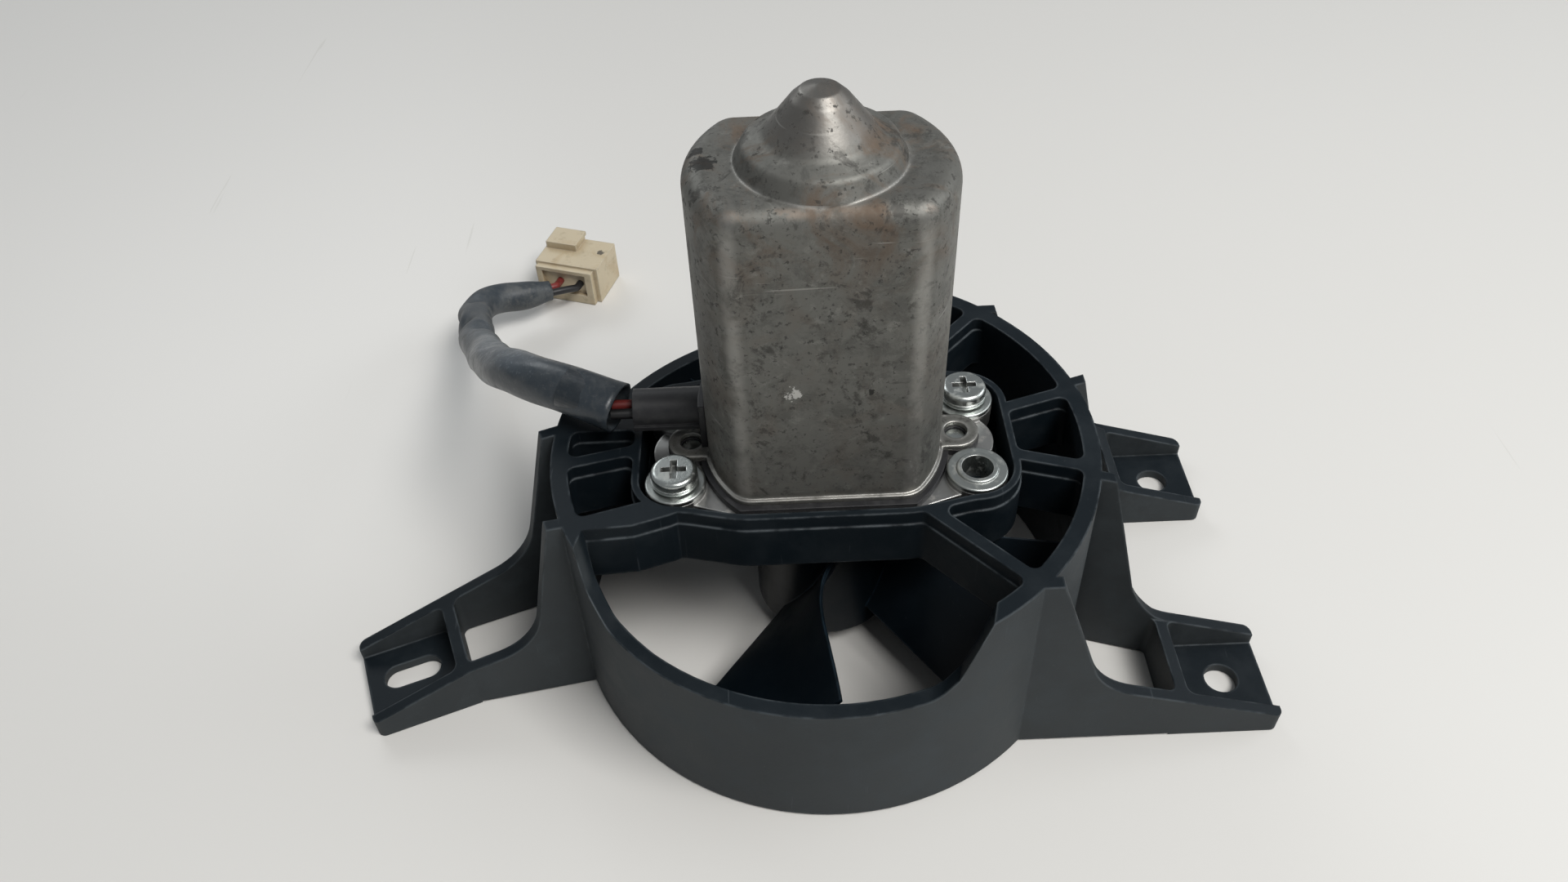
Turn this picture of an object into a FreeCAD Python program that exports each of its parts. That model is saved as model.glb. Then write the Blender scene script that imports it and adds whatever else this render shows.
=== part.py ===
import FreeCAD, Part
import math
import os
import Sketcher

# Radiator fan: a shroud on three feet, a five-blade impeller and a motor on top.
# Millimetres. Origin on the floor under the fan's axis, +Z up, +X to the two round-holed feet.

os.makedirs("parts", exist_ok=True)
document = FreeCAD.newDocument("radiator_fan")
Vector = FreeCAD.Vector
AXIS_Z = Vector(0, 0, 1)

SIZES = [
    # Ring of the shroud
    ("ring_base", 0.5),
    ("ring_top", 59.8),
    ("ring_outer_top", 65.0),
    ("ring_outer_base", 65.6),
    ("ring_inner_top", 60.9),
    ("ring_inner_middle", 61.6),
    ("ring_inner_base", 62.7),
    ("ring_middle", 41.0),
    ("front_wall_top", 40.8),
    ("back_wall_top", 41.8),
    ("window_corner", 5.0),
    # Hub frame that carries the motor
    ("hub_half_length", 45.3),
    ("hub_half_width", 21.8),
    ("hub_shoulder", 34.0),
    ("hub_bulge", 25.2),
    ("hub_bulge_half", 20.0),
    ("hub_bulge_radius", 24.0),
    ("hub_corner", 11.0),
    ("hub_base", 44.2),
    ("hub_floor", 2.4),
    ("hub_wall", 1.75),
    ("hub_opening_radius", 10.5),
    ("boss_pad_radius", 6.6),
    ("ledge_drop", 3.6),
    ("ledge_step", 0.4),
    ("spoke_width", 3.3),
    ("spoke_corner", 2.0),
    ("web_low_side", 5.6),
    ("web_high_side", 16.2),
    # Legs
    ("leg_wall", 3.0),
    ("leg_width", 27.1),
    ("leg_tip_height", 5.8),
    ("pad_thickness", 2.6),
    ("rib_thickness", 3.2),
    ("knee_radius", 17.0),
    ("tip_corner", 2.0),
    ("tray_corner", 2.0),
    ("right_tip", 108.5),
    ("right_rib", 81.6),
    ("right_side", 47.95),
    ("right_splay", -6.5),
    ("left_splay", -6.2),
    ("right_splay_end", 62.0),
    ("right_hole_reach", 98.0),
    ("right_hole_side", 34.3),
    ("foot_hole_radius", 4.1),
    ("left_tip", 120.3),
    ("left_rib", 94.3),
    ("left_side", 30.5),
    ("left_angle", 159.2),
    ("slot_reach", 108.9),
    ("slot_side", 18.1),
    ("slot_length", 14.5),
    ("slot_width", 7.0),
    # Motor plate
    ("plate_base", 53.5),
    ("plate_thickness", 3.9),
    ("plate_radius", 31.0),
    ("plate_half_width", 22.9),
    ("lug_reach", 35.0),
    ("lug_side", 12.3),
    ("lug_radius", 7.1),
    ("lug_rise", 1.2),
    ("plate_boss_radius", 9.0),
    ("plate_boss_base", 44.0),
    ("bearing_radius", 5.5),
    ("bearing_height", 8.0),
    ("ear_reach", 31.5),
    ("ear_boss_radius", 9.2),
    ("plate_arm_width", 8.0),
    # Lug bushes and their screws
    ("flange_radius", 7.1),
    ("flange_thickness", 1.2),
    ("flange_rim_radius", 4.9),
    ("flange_rim_rise", 0.6),
    ("bush_bore_radius", 3.7),
    ("bush_barrel_radius", 4.6),
    ("screw_radius", 2.5),
    ("screw_head_radius", 5.4),
    ("screw_head_height", 2.5),
    ("screw_reach", 12.0),
    ("washer_radius", 5.5),
    ("washer_thickness", 1.0),
    # Can
    ("gasket_radius", 29.7),
    ("gasket_flat", 21.9),
    ("gasket_thickness", 1.8),
    ("gasket_bore", 23.0),
    ("can_radius", 27.5),
    ("can_flat", 19.5),
    ("can_wall", 1.5),
    ("can_height", 76.7),
    ("can_edge", 4.2),
    ("can_corner", 6.0),
    ("can_lip", 0.9),
    ("can_lip_height", 1.2),
    ("ear_radius", 5.4),
    ("ear_thickness", 1.4),
    ("ear_hole_radius", 2.8),
    ("can_screw_radius", 2.4),
    ("nose_base_radius", 17.2),
    ("nose_step_radius", 11.4),
    ("nose_step_rise", 5.4),
    ("nose_tip_radius", 5.8),
    ("nose_tip_rise", 12.6),
    ("nose_height", 15.3),
    ("nose_crest", 1.6),
    ("nose_step", 2.4),
    # Shaft, bearings and armature
    ("shaft_radius", 2.5),
    ("shaft_base", 8.0),
    ("running_gap", 0.05),
    ("collar_radius", 3.6),
    ("rear_bearing_radius", 7.6),
    ("rear_bearing_rise", 4.3),
    ("rear_bearing_half", 3.6),
    ("clip_thickness", 1.0),
    ("clip_radius", 15.0),
    ("commutator_radius", 9.0),
    ("commutator_rise", 1.3),
    ("commutator_height", 12.0),
    ("core_radius", 17.2),
    ("core_rise", 25.8),
    ("core_drop", 15.9),
    ("core_slot_centre", 13.4),
    ("core_slot_radius", 2.2),
    ("core_slot_mouth", 1.6),
    ("coil_radius", 15.4),
    ("coil_height", 7.0),
    ("magnet_inner", 18.2),
    ("magnet_rise", 20.8),
    ("magnet_drop", 7.9),
    ("magnet_half_angle", 42.0),
    # Brush gear
    ("card_rise", 3.0),
    ("card_thickness", 2.0),
    ("card_radius", 24.5),
    ("card_flat", 16.5),
    ("card_bore", 10.6),
    ("brush_width", 4.6),
    ("brush_height", 5.0),
    ("brush_length", 6.0),
    ("holder_length", 11.0),
    ("holder_wall", 0.6),
    # Cable
    ("cable_side", 5.2),
    ("cable_rise", 7.8),
    ("grommet_radius", 4.8),
    ("grommet_bore", 3.5),
    ("grommet_reach", 44.6),
    ("grommet_ridge", 0.5),
    ("sleeve_radius", 6.0),
    ("wire_radius", 1.25),
    ("wire_spread", 1.6),
    # Connector
    ("connector_width", 23.3),
    ("connector_length", 18.5),
    ("connector_height", 14.0),
    ("connector_angle", 18.3),
    ("connector_left", -95.0),
    ("connector_front", 140.1),
    ("connector_inset", 1.6),
    ("connector_frame", 2.2),
    ("latch_width", 12.0),
    ("latch_length", 8.0),
    ("latch_rise", 2.6),
    ("cavity_near", 9.0),
    ("cavity_far", 16.5),
    ("cavity_centre", 7.6),
    ("cavity_width", 6.2),
    ("cavity_height", 4.0),
    ("cavity_depth", 12.5),
    ("terminal_thickness", 0.8),
    # Fan
    ("fan_base", 6.5),
    ("fan_hub_radius", 17.8),
    ("fan_hub_height", 33.0),
    ("fan_hub_wall", 2.2),
    ("fan_sleeve_radius", 6.0),
    ("fan_tip_radius", 59.2),
    ("blade_top", 38.4),
    ("blade_base", 13.0),
    ("blade_half_thickness", 1.0),
    ("blade_edge", 0.45),
    ("blade_camber", 0.07),
    ("blade_azimuth", -110.0),
    ("fan_rib", 1.4),
    ("nut_radius", 4.6),
    ("nut_height", 3.2),
    ("fan_washer_thickness", 0.8),
]

BLADE_COUNT = 5
CORE_SLOTS = 10
FAN_RIBS = 6
FRONT_WINDOW_TURN = -15.5
BACK_WINDOW_TURN = 23.0
# Where the front window ends on the left, in plan
WINDOW_END = (-54.2, -30.1)

# Blade sections: distance along the blade, and the places of its upper and lower edges across it.
BLADE_SECTIONS = [
    (15.0, 8.6, -5.0),
    (20.8, 7.6, -6.6),
    (27.5, 7.8, -8.6),
    (37.6, 11.6, -11.7),
    (46.6, 16.4, -14.4),
    (55.8, 21.0, -17.3),
    (60.5, 23.3, -18.8),
]

# Centre line of the cable sleeve, from the motor to the connector.
SLEEVE_ROUTE = [
    (-48.4, 5.2, 67.4),
    (-60.5, 10.2, 69.9),
    (-74.5, 20.5, 66.5),
    (-85.5, 38.3, 55.3),
    (-95.8, 64.0, 38.4),
    (-104.9, 89.5, 26.5),
    (-109.3, 108.0, 18.5),
    (-108.2, 117.5, 15.0),
    (-103.2, 123.0, 12.9),
    (-96.0, 125.2, 11.4),
    (-88.5, 129.3, 10.2),
]


class Size:
    """A number together with the expression that the sheet works it out from."""

    def __init__(self, number, text):
        self.number = float(number)
        self.text = text

    def __add__(self, other):
        other = as_size(other)
        return Size(self.number + other.number, "(%s + %s)" % (self.text, other.text))

    def __radd__(self, other):
        return as_size(other) + self

    def __sub__(self, other):
        other = as_size(other)
        return Size(self.number - other.number, "(%s - %s)" % (self.text, other.text))

    def __rsub__(self, other):
        return as_size(other) - self

    def __mul__(self, other):
        other = as_size(other)
        return Size(self.number * other.number, "(%s * %s)" % (self.text, other.text))

    def __rmul__(self, other):
        return as_size(other) * self

    def __truediv__(self, other):
        other = as_size(other)
        return Size(self.number / other.number, "(%s / %s)" % (self.text, other.text))

    def __neg__(self):
        return Size(-self.number, "(-%s)" % self.text)


def as_size(value):
    if isinstance(value, Size):
        return value
    return Size(value, "(%.4f)" % value)


sheet = document.addObject("Spreadsheet::Sheet", "Sizes")
size = {}
for row, (alias, number) in enumerate(SIZES, start=1):
    sheet.set("A%d" % row, alias)
    sheet.set("B%d" % row, str(number))
    sheet.setAlias("B%d" % row, alias)
    size[alias] = Size(number, "Sizes." + alias)
document.recompute()

nodes = []


def bind(target, name, value):
    target.setExpression(name, as_size(value).text)


def keep(target, node):
    target.Label = node
    nodes.append(target)
    return target


# Primitives and booleans


def cylinder(name, radius, low, high, x=0, y=0):
    made = document.addObject("Part::Cylinder", name)
    bind(made, "Radius", radius)
    bind(made, "Height", as_size(high) - low)
    bind(made, "Placement.Base.x", x)
    bind(made, "Placement.Base.y", y)
    bind(made, "Placement.Base.z", low)
    return made


def lying_cylinder(name, radius, start, end, y, height):
    """A cylinder along -X from start to end."""
    made = document.addObject("Part::Cylinder", name)
    made.Placement = FreeCAD.Placement(Vector(), FreeCAD.Rotation(Vector(0, 1, 0), -90))
    bind(made, "Radius", radius)
    bind(made, "Height", as_size(start) - end)
    bind(made, "Placement.Base.x", start)
    bind(made, "Placement.Base.y", y)
    bind(made, "Placement.Base.z", height)
    return made


def box(name, x_range, y_range, z_range):
    made = document.addObject("Part::Box", name)
    for prop, axis, (low, high) in zip(("Length", "Width", "Height"), "xyz", (x_range, y_range, z_range)):
        bind(made, prop, as_size(high) - low)
        bind(made, "Placement.Base." + axis, low)
    return made


def bar(name, start, end, width, z_range):
    """A flat bar of one width from start to end in plan."""
    run = Vector(
        as_size(end[0]).number - as_size(start[0]).number,
        as_size(end[1]).number - as_size(start[1]).number,
        0,
    )
    side = AXIS_Z.cross(run).normalize() * (-0.5 * as_size(width).number)
    corner = Vector(as_size(start[0]).number, as_size(start[1]).number, as_size(z_range[0]).number) + side
    made = document.addObject("Part::Box", name)
    made.Length = run.Length
    bind(made, "Width", width)
    bind(made, "Height", as_size(z_range[1]) - z_range[0])
    turn = math.degrees(math.atan2(run.y, run.x))
    made.Placement = FreeCAD.Placement(corner, FreeCAD.Rotation(AXIS_Z, turn))
    return made


def fuse(name, *shapes):
    made = document.addObject("Part::MultiFuse", name)
    made.Shapes = list(shapes)
    made.Refine = True
    return made


def common(name, *shapes):
    made = document.addObject("Part::MultiCommon", name)
    made.Shapes = list(shapes)
    return made


def cut(name, base, *tools):
    made = base
    for number, tool in enumerate(tools, start=1):
        last = number == len(tools)
        step = document.addObject("Part::Cut", name if last else "%s_%d" % (name, number))
        step.Base = made
        step.Tool = tool
        step.Refine = True
        made = step
    return made


def turned(target, degrees, x=0, y=0, z=0):
    place = Vector(as_size(x).number, as_size(y).number, as_size(z).number)
    target.Placement = FreeCAD.Placement(place, FreeCAD.Rotation(AXIS_Z, degrees))
    return target


def rounded(name, base, radius, chosen):
    """Fillet the edges of base that chosen accepts."""
    document.recompute()
    made = document.addObject("Part::Fillet", name)
    made.Base = base
    reach = as_size(radius).number
    made.Edges = [(i, reach, reach) for i, edge in enumerate(base.Shape.Edges, start=1) if chosen(edge)]
    return made


# Sketched bodies


def outline(body, role, points):
    sketch = body.newObject("Sketcher::SketchObject", body.Name + "_outline")
    plane = [feature for feature in body.Origin.OriginFeatures if feature.Role == role][0]
    sketch.AttachmentSupport = [(plane, "")]
    sketch.MapMode = "FlatFace"
    sized = [(as_size(x), as_size(y)) for x, y in points]
    count = len(sized)
    for i in range(count):
        start = Vector(sized[i][0].number, sized[i][1].number, 0)
        end = Vector(sized[(i + 1) % count][0].number, sized[(i + 1) % count][1].number, 0)
        sketch.addGeometry(Part.LineSegment(start, end), False)
    for i in range(count):
        sketch.addConstraint(Sketcher.Constraint("Coincident", i, 2, (i + 1) % count, 1))
    for i, (x, y) in enumerate(sized):
        for kind, value in (("DistanceX", x), ("DistanceY", y)):
            held = sketch.addConstraint(Sketcher.Constraint(kind, -1, 1, i, 1, value.number))
            sketch.setExpression("Constraints[%d]" % held, value.text)
    return sketch


def prism(name, points, low, high):
    body = document.addObject("PartDesign::Body", name)
    pad = body.newObject("PartDesign::Pad", name + "_pad")
    pad.Profile = outline(body, "XY_Plane", points)
    bind(pad, "Length", as_size(high) - low)
    bind(body, "Placement.Base.z", low)
    body.Tip = pad
    return body


def side_prism(name, points, width, towards):
    """A profile seen from the front, made as long as width: towards is front, back or both."""
    body = document.addObject("PartDesign::Body", name)
    pad = body.newObject("PartDesign::Pad", name + "_pad")
    pad.Profile = outline(body, "XZ_Plane", points)
    bind(pad, "Length", width)
    pad.Midplane = towards == "both"
    pad.Reversed = towards == "back"
    body.Tip = pad
    return body


def revolved(name, points):
    body = document.addObject("PartDesign::Body", name)
    turn = body.newObject("PartDesign::Revolution", name + "_turn")
    sketch = outline(body, "XZ_Plane", points)
    turn.Profile = sketch
    turn.ReferenceAxis = (sketch, ["V_Axis"])
    turn.Angle = 360
    body.Tip = turn
    return body


# Choosing edges


def is_upright(edge):
    ends = [vertex.Point for vertex in edge.Vertexes]
    if len(ends) < 2:
        return False
    run = ends[1] - ends[0]
    return abs(run.z) > 0.97 * run.Length and run.Length > 1.0


def has_room(shape, edge, reach):
    """True where both faces that meet at an upright edge are wider than reach in plan."""
    faces = [face for face in shape.Faces if any(other.isSame(edge) for other in face.Edges)]
    widths = [math.hypot(face.BoundBox.XLength, face.BoundBox.YLength) for face in faces]
    return min(widths) > reach


def is_inner_corner(shape, edge):
    """True where the material fills more than half of the space round the edge."""
    middle = edge.valueAt(0.5 * (edge.FirstParameter + edge.LastParameter))
    inside = 0
    for step in range(16):
        turn = math.radians(22.5 * step + 5.0)
        probe = middle + Vector(0.3 * math.cos(turn), 0.3 * math.sin(turn), 0)
        if shape.isInside(probe, 0.001, True):
            inside += 1
    return inside > 9


def runs_near(edge, x, z, reach=1.0):
    """True for an edge along Y close to the given place in the front view."""
    ends = [vertex.Point for vertex in edge.Vertexes]
    if len(ends) < 2 or abs(ends[1].y - ends[0].y) < 5:
        return False
    return all(abs(end.x - x) < reach and abs(end.z - z) < reach for end in ends)


# Shroud


def ring():
    s = size
    wall = revolved("ring_wall", [
        (s["ring_outer_base"], s["ring_base"]),
        (s["ring_outer_top"], s["ring_top"]),
        (s["ring_inner_top"], s["ring_top"]),
        (s["ring_inner_middle"], s["ring_middle"]),
        (s["ring_inner_base"], s["ring_base"]),
    ])
    over = s["ring_top"] + 5
    front = side_prism("front_window", [
        (-46.4, over), (-46.4, s["ring_top"]),
        (-44.1, s["front_wall_top"] + 7), (-38.0, s["front_wall_top"] + 1),
        (-26.0, s["front_wall_top"]), (36.6, s["front_wall_top"]), (40.5, s["front_wall_top"] + 4),
        (45.8, s["ring_top"]), (45.8, over),
    ], s["ring_outer_base"] + 5, "front")
    back = side_prism("back_window", [
        (-51.2, over), (-51.2, s["ring_top"]), (-47.0, s["back_wall_top"] + 7), (-38.0, s["back_wall_top"]),
        (42.6, s["back_wall_top"]), (46.8, s["back_wall_top"] + 4), (51.2, s["ring_top"]), (51.2, over),
    ], s["ring_outer_base"] + 5, "back")
    corners = [
        (-38.0, s["front_wall_top"] + 1), (-44.1, s["front_wall_top"] + 7), (36.6, s["front_wall_top"]),
        (-38.0, s["back_wall_top"]), (-47.0, s["back_wall_top"] + 7), (42.6, s["back_wall_top"]),
    ]

    def at_corner(edge):
        return any(runs_near(edge, x, z.number, 0.3) for x, z in corners)

    front_round = rounded("front_window_round", front, s["window_corner"], at_corner)
    back_round = rounded("back_window_round", back, s["window_corner"], at_corner)
    turned(front_round, FRONT_WINDOW_TURN)
    turned(back_round, BACK_WINDOW_TURN)
    return cut("ring", wall, front_round, back_round)


def hub_outline(offset):
    s = size
    length = s["hub_half_length"] + offset
    width = s["hub_half_width"] + offset
    bulge = s["hub_bulge"] + offset
    half = s["hub_bulge_half"]
    shoulder = s["hub_shoulder"]
    quarter = [(length, -width), (length, width), (shoulder, width), (half, bulge)]
    return quarter + [(-half, bulge), (-shoulder, width), (-length, width), (-length, -width),
                      (-shoulder, -width), (-half, -bulge), (half, -bulge), (shoulder, -width)]


def hub_block(name, offset, low, high):
    block = prism(name, hub_outline(offset), low, high)
    corner_x = (size["hub_half_length"] + offset).number

    def at_end_corner(edge):
        middle = edge.CenterOfMass
        return is_upright(edge) and abs(abs(middle.x) - corner_x) < 0.1

    shoulder_x = size["hub_shoulder"].number
    bulge_x = size["hub_bulge_half"].number

    def at_bulge(edge):
        across = abs(edge.CenterOfMass.x)
        return is_upright(edge) and min(abs(across - shoulder_x), abs(across - bulge_x)) < 0.1

    soft = rounded(name + "_soft", block, size["hub_bulge_radius"], at_bulge)
    return rounded(name + "_round", soft, size["hub_corner"] + offset, at_end_corner)


def spokes(name, width, low, high):
    s = size
    rim = s["ring_inner_top"] + 2
    lines = [
        ((22.0, 23.1), (42.6, 45.4)),
        ((44.0, 7.8), (61.8, 13.4)),
        ((44.0, -7.8), (61.8, -13.4)),
        ((22.0, -23.1), (42.6, -45.4)),
        ((-44.0, -1.1), (-62.2, -5.3)),
    ]
    made = []
    for number, (start, end) in enumerate(lines, start=1):
        made.append(bar("%s_%d" % (name, number), start, end, width, (low, high)))
    spread = (width - s["spoke_width"]) / 2
    web_sides = (s["web_low_side"] - spread, s["web_high_side"] + spread)
    made.append(box(name + "_web", (-rim + 1.5, -s["hub_half_length"] + 2), web_sides, (low, high)))
    made.append(prism(name + "_wedge", [
        (-36.0, -16.4 + spread), (-44.9, -18.9 + spread), (-58.0, -22.7 + spread),
        (-58.0, -26.3 - spread), (-44.2, -25.4 - spread), (-36.0, -22.7 - spread), (-30.0, -20.0),
    ], low, high))
    return made


def hub_band(name, ring_shape, spread, low, high):
    """One height of the hub, its spokes and the ring, with rounded inside corners."""
    block = hub_block(name + "_hub", spread, low, high)
    bars = spokes(name + "_spoke", size["spoke_width"] + 2 * spread, low, high)
    reach = size["ring_outer_base"] + 5
    slab = box(name + "_slab", (-reach, reach), (-reach, reach), (low, high))
    rim = common(name + "_rim", ring_shape, slab)
    band = fuse(name, block, rim, *bars)
    document.recompute()
    shape = band.Shape
    tall = 0.9 * (as_size(high) - low).number

    reach = 1.4 * size["spoke_corner"].number
    window_end = Vector(*WINDOW_END, 0)

    def at_inside_corner(edge):
        middle = edge.CenterOfMass
        beside_window = math.hypot(middle.x - window_end.x, middle.y - window_end.y) < 5
        if beside_window or not is_upright(edge) or edge.Length < tall:
            return False
        return has_room(shape, edge, reach) and is_inner_corner(shape, edge)

    return rounded(name + "_round", band, size["spoke_corner"], at_inside_corner)


def leg_side(name, top_reach, knee_reach, knee_height, tip):
    """The side view of a leg wall, from the ring's top down to the tip."""
    s = size
    body = side_prism(name, [
        (40.0, s["ring_base"]), (tip, s["ring_base"]), (tip, s["leg_tip_height"]),
        (knee_reach, knee_height), (top_reach, s["ring_top"]), (40.0, s["ring_top"]),
    ], 130.0, "both")

    def at_knee(edge):
        return runs_near(edge, as_size(knee_reach).number, as_size(knee_height).number, 0.3)

    return rounded(name + "_round", body, s["knee_radius"], at_knee)


def leg(name, tip, rib, low_side, splays, sides, hole):
    """A channel-shaped foot along +X: splays says how far each wall leans in towards the ring."""
    s = size
    high_side = low_side + s["leg_width"]
    inner_low = low_side + s["leg_wall"]
    inner_high = high_side - s["leg_wall"]
    start = 40.0
    end = s["right_splay_end"]
    lean = (rib - start) / (rib - end)
    over = s["ring_top"] + 1
    low_wall = prism(name + "_low_wall", [
        (rib, low_side), (tip, low_side), (tip, inner_low), (rib, inner_low),
        (start, inner_low + splays[0] * lean), (start, low_side + splays[0] * lean),
    ], s["ring_base"], over)
    high_wall = prism(name + "_high_wall", [
        (rib, inner_high), (tip, inner_high), (tip, high_side), (rib, high_side),
        (start, high_side - splays[1] * lean), (start, inner_high - splays[1] * lean),
    ], s["ring_base"], over)
    low_part = common(name + "_low_part", low_wall, leg_side(name + "_low_side", *sides[0], tip))
    high_part = common(name + "_high_part", high_wall, leg_side(name + "_high_side", *sides[1], tip))
    across = (inner_low - 1, inner_high + 1)
    rib_wall = box(name + "_rib", (rib, rib + s["rib_thickness"]), across, (s["ring_base"], over))
    slope = leg_side(name + "_slope", *sides[0], tip)
    cross_part = common(name + "_cross_part", rib_wall, slope)
    pad = box(name + "_pad", (rib, tip), (low_side, high_side), (0, s["pad_thickness"]))
    joined = fuse(name + "_joined", low_part, high_part, cross_part, pad)
    document.recompute()
    joined_shape = joined.Shape
    rib_sides = (as_size(rib).number, as_size(rib + s["rib_thickness"]).number)
    tip_number = as_size(tip).number

    def at_tray_corner(edge):
        beside_rib = min(abs(edge.CenterOfMass.x - side) for side in rib_sides) < 0.1
        return beside_rib and is_upright(edge) and edge.Length > 5 and is_inner_corner(joined_shape, edge)

    whole = rounded(name + "_whole", joined, s["tray_corner"], at_tray_corner)

    leg_sides = (as_size(low_side).number, as_size(high_side).number)

    def at_tip_corner(edge):
        outside = min(abs(edge.CenterOfMass.y - side) for side in leg_sides) < 0.1
        return outside and is_upright(edge) and edge.CenterOfMass.x > tip_number - 0.1

    whole_round = rounded(name + "_round", whole, s["tip_corner"], at_tip_corner)
    clear = cylinder(name + "_clear", (s["ring_outer_top"] + s["ring_inner_base"]) / 2 - 0.4, -1, over + 1)
    return cut(name, whole_round, clear, hole)


def legs():
    s = size
    below = -1.0
    above = s["pad_thickness"] + 1
    near = (48.4, 62.2, 20.4)
    splayed = (66.0, 77.1, 15.8)
    side = s["right_side"]
    right_tip = s["right_tip"]
    reach = s["right_hole_reach"]
    front_hole = cylinder("front_hole", s["foot_hole_radius"], below, above, reach, -s["right_hole_side"])
    back_hole = cylinder("back_hole", s["foot_hole_radius"], below, above, reach, s["right_hole_side"])
    splay = s["right_splay"]
    front_right = leg(
        "leg_front_right", right_tip, s["right_rib"], -side, (0, splay), (near, splayed), front_hole)
    back_side = side - s["leg_width"]
    back_right = leg(
        "leg_back_right", right_tip, s["right_rib"], back_side, (splay, 0), (splayed, near), back_hole)
    half = s["slot_width"] / 2
    travel = (s["slot_length"] - s["slot_width"]) / 2
    slot_y = -s["slot_side"]
    slot = fuse(
        "left_slot",
        cylinder("slot_near_end", half, below, above, s["slot_reach"] - travel, slot_y),
        cylinder("slot_far_end", half, below, above, s["slot_reach"] + travel, slot_y),
        box(
            "slot_middle", (s["slot_reach"] - travel, s["slot_reach"] + travel), (slot_y - half, slot_y + half),
            (below, above)),
    )
    left_sides = ((62.1, 72.2, 20.3), (68.4, 77.2, 18.8))
    splays = (0, s["left_splay"])
    left = leg("leg_left", s["left_tip"], s["left_rib"], -s["left_side"], splays, left_sides, slot)
    turned(left, -s["left_angle"].number)
    return front_right, back_right, left


def lug_places():
    reach = size["lug_reach"]
    side = size["lug_side"]
    return [(reach, side), (-reach, side), (-reach, -side), (reach, -side)]


def shroud():
    s = size
    ring_shape = ring()
    ledge = s["ring_top"] - s["ledge_drop"]
    lower = hub_band("lower_band", ring_shape, s["ledge_step"], s["hub_base"], ledge)
    upper = hub_band("upper_band", ring_shape, as_size(0), ledge, s["ring_top"])
    frame = fuse("shroud_frame", ring_shape, lower, upper, *legs())
    floor = s["hub_base"] + s["hub_floor"]
    pocket = hub_block("hub_pocket", -s["hub_wall"], floor, s["ring_top"] + 2)
    opening = cylinder("hub_opening", s["hub_opening_radius"], s["hub_base"] - 1, floor + 1)
    hollow = cut("shroud_hollow", frame, pocket, opening)
    pads = []
    holes = []
    for number, (x, y) in enumerate(lug_places(), start=1):
        pads.append(cylinder("boss_pad_%d" % number, s["boss_pad_radius"], floor - 1, s["plate_base"], x, y))
        bore = s["screw_radius"] + s["running_gap"]
        holes.append(cylinder("boss_hole_%d" % number, bore, s["hub_base"] + 1, s["plate_base"] + 1, x, y))
    padded = fuse("shroud_padded", hollow, *pads)
    web_wall = s["hub_wall"]
    web_pocket = box(
        "web_pocket", (-s["ring_inner_top"] + 2, -s["hub_half_length"] - 1),
        (s["web_low_side"] + web_wall, s["web_high_side"] - web_wall),
        (s["hub_base"] - 1, s["ring_top"] - web_wall),
    )
    return keep(cut("shroud_part", padded, web_pocket, *holes), "shroud")


# Motor plate and its fixings


def motor_plate():
    s = size
    low = s["plate_base"]
    top = low + s["plate_thickness"]
    lug_top = top + s["lug_rise"]
    solids = [
        flat_sided("plate_middle", s["plate_radius"], s["plate_half_width"], low, top),
        cylinder("plate_boss", s["plate_boss_radius"], s["plate_boss_base"], low + 0.5),
    ]
    holes = [
        cylinder(
            "bearing_seat", s["bearing_radius"] + s["running_gap"], low + 0.5 - s["bearing_height"], top + 1),
        cylinder("shaft_way", s["shaft_radius"] + 0.7, s["plate_boss_base"] - 1, low + 1),
    ]
    arm = s["plate_arm_width"]
    for number, (x, y) in enumerate(lug_places(), start=1):
        solids.append(cylinder("lug_%d" % number, s["lug_radius"], low, lug_top, x, y))
        side = 1 if number in (1, 2) else -1
        root = (x * 0.45, (s["plate_half_width"] - arm / 2) * side)
        solids.append(bar("plate_arm_%d" % number, (x, y), root, arm, (low, top)))
        bore = s["bush_barrel_radius"] + s["running_gap"]
        holes.append(cylinder("lug_bore_%d" % number, bore, low - 1, lug_top + 1, x, y))
    for number, x in enumerate((s["ear_reach"], -s["ear_reach"]), start=1):
        solids.append(cylinder("ear_boss_%d" % number, s["ear_boss_radius"], low, top, x))
        bore = s["can_screw_radius"] + s["running_gap"]
        holes.append(cylinder("ear_bore_%d" % number, bore, low - 1, top + 1, x))
    return keep(cut("plate_part", fuse("plate_solid", *solids), fuse("plate_holes", *holes)), "motor_plate")


def lug_bushes():
    s = size
    seat = s["plate_base"] + s["plate_thickness"] + s["lug_rise"]
    for number, (x, y) in enumerate(lug_places(), start=1):
        name = "lug_bush_%d" % number
        flange_top = seat + s["flange_thickness"]
        flange = cylinder(name + "_flange", s["flange_radius"], seat, flange_top, x, y)
        rim = cylinder(name + "_rim", s["flange_rim_radius"], seat, flange_top + s["flange_rim_rise"], x, y)
        barrel = cylinder(name + "_barrel", s["bush_barrel_radius"], s["plate_base"], seat + 0.5, x, y)
        edge_height = flange_top.number
        rim_height = (flange_top + s["flange_rim_rise"]).number

        def at_outer_edge(edge):
            return edge.BoundBox.ZMin > edge_height - 0.01

        def at_rim_edge(edge):
            return edge.BoundBox.ZMin > rim_height - 0.01

        soft_flange = rounded(name + "_soft_flange", flange, s["flange_thickness"] * 0.4, at_outer_edge)
        soft_rim = rounded(name + "_soft_rim", rim, s["flange_rim_rise"] * 0.8, at_rim_edge)
        way = (s["plate_base"] - 1, flange_top + s["flange_rim_rise"] + 1)
        bore = cylinder(name + "_bore", s["bush_bore_radius"], *way, x, y)
        keep(cut(name + "_part", fuse(name + "_solid", soft_flange, soft_rim, barrel), bore), name)


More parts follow.
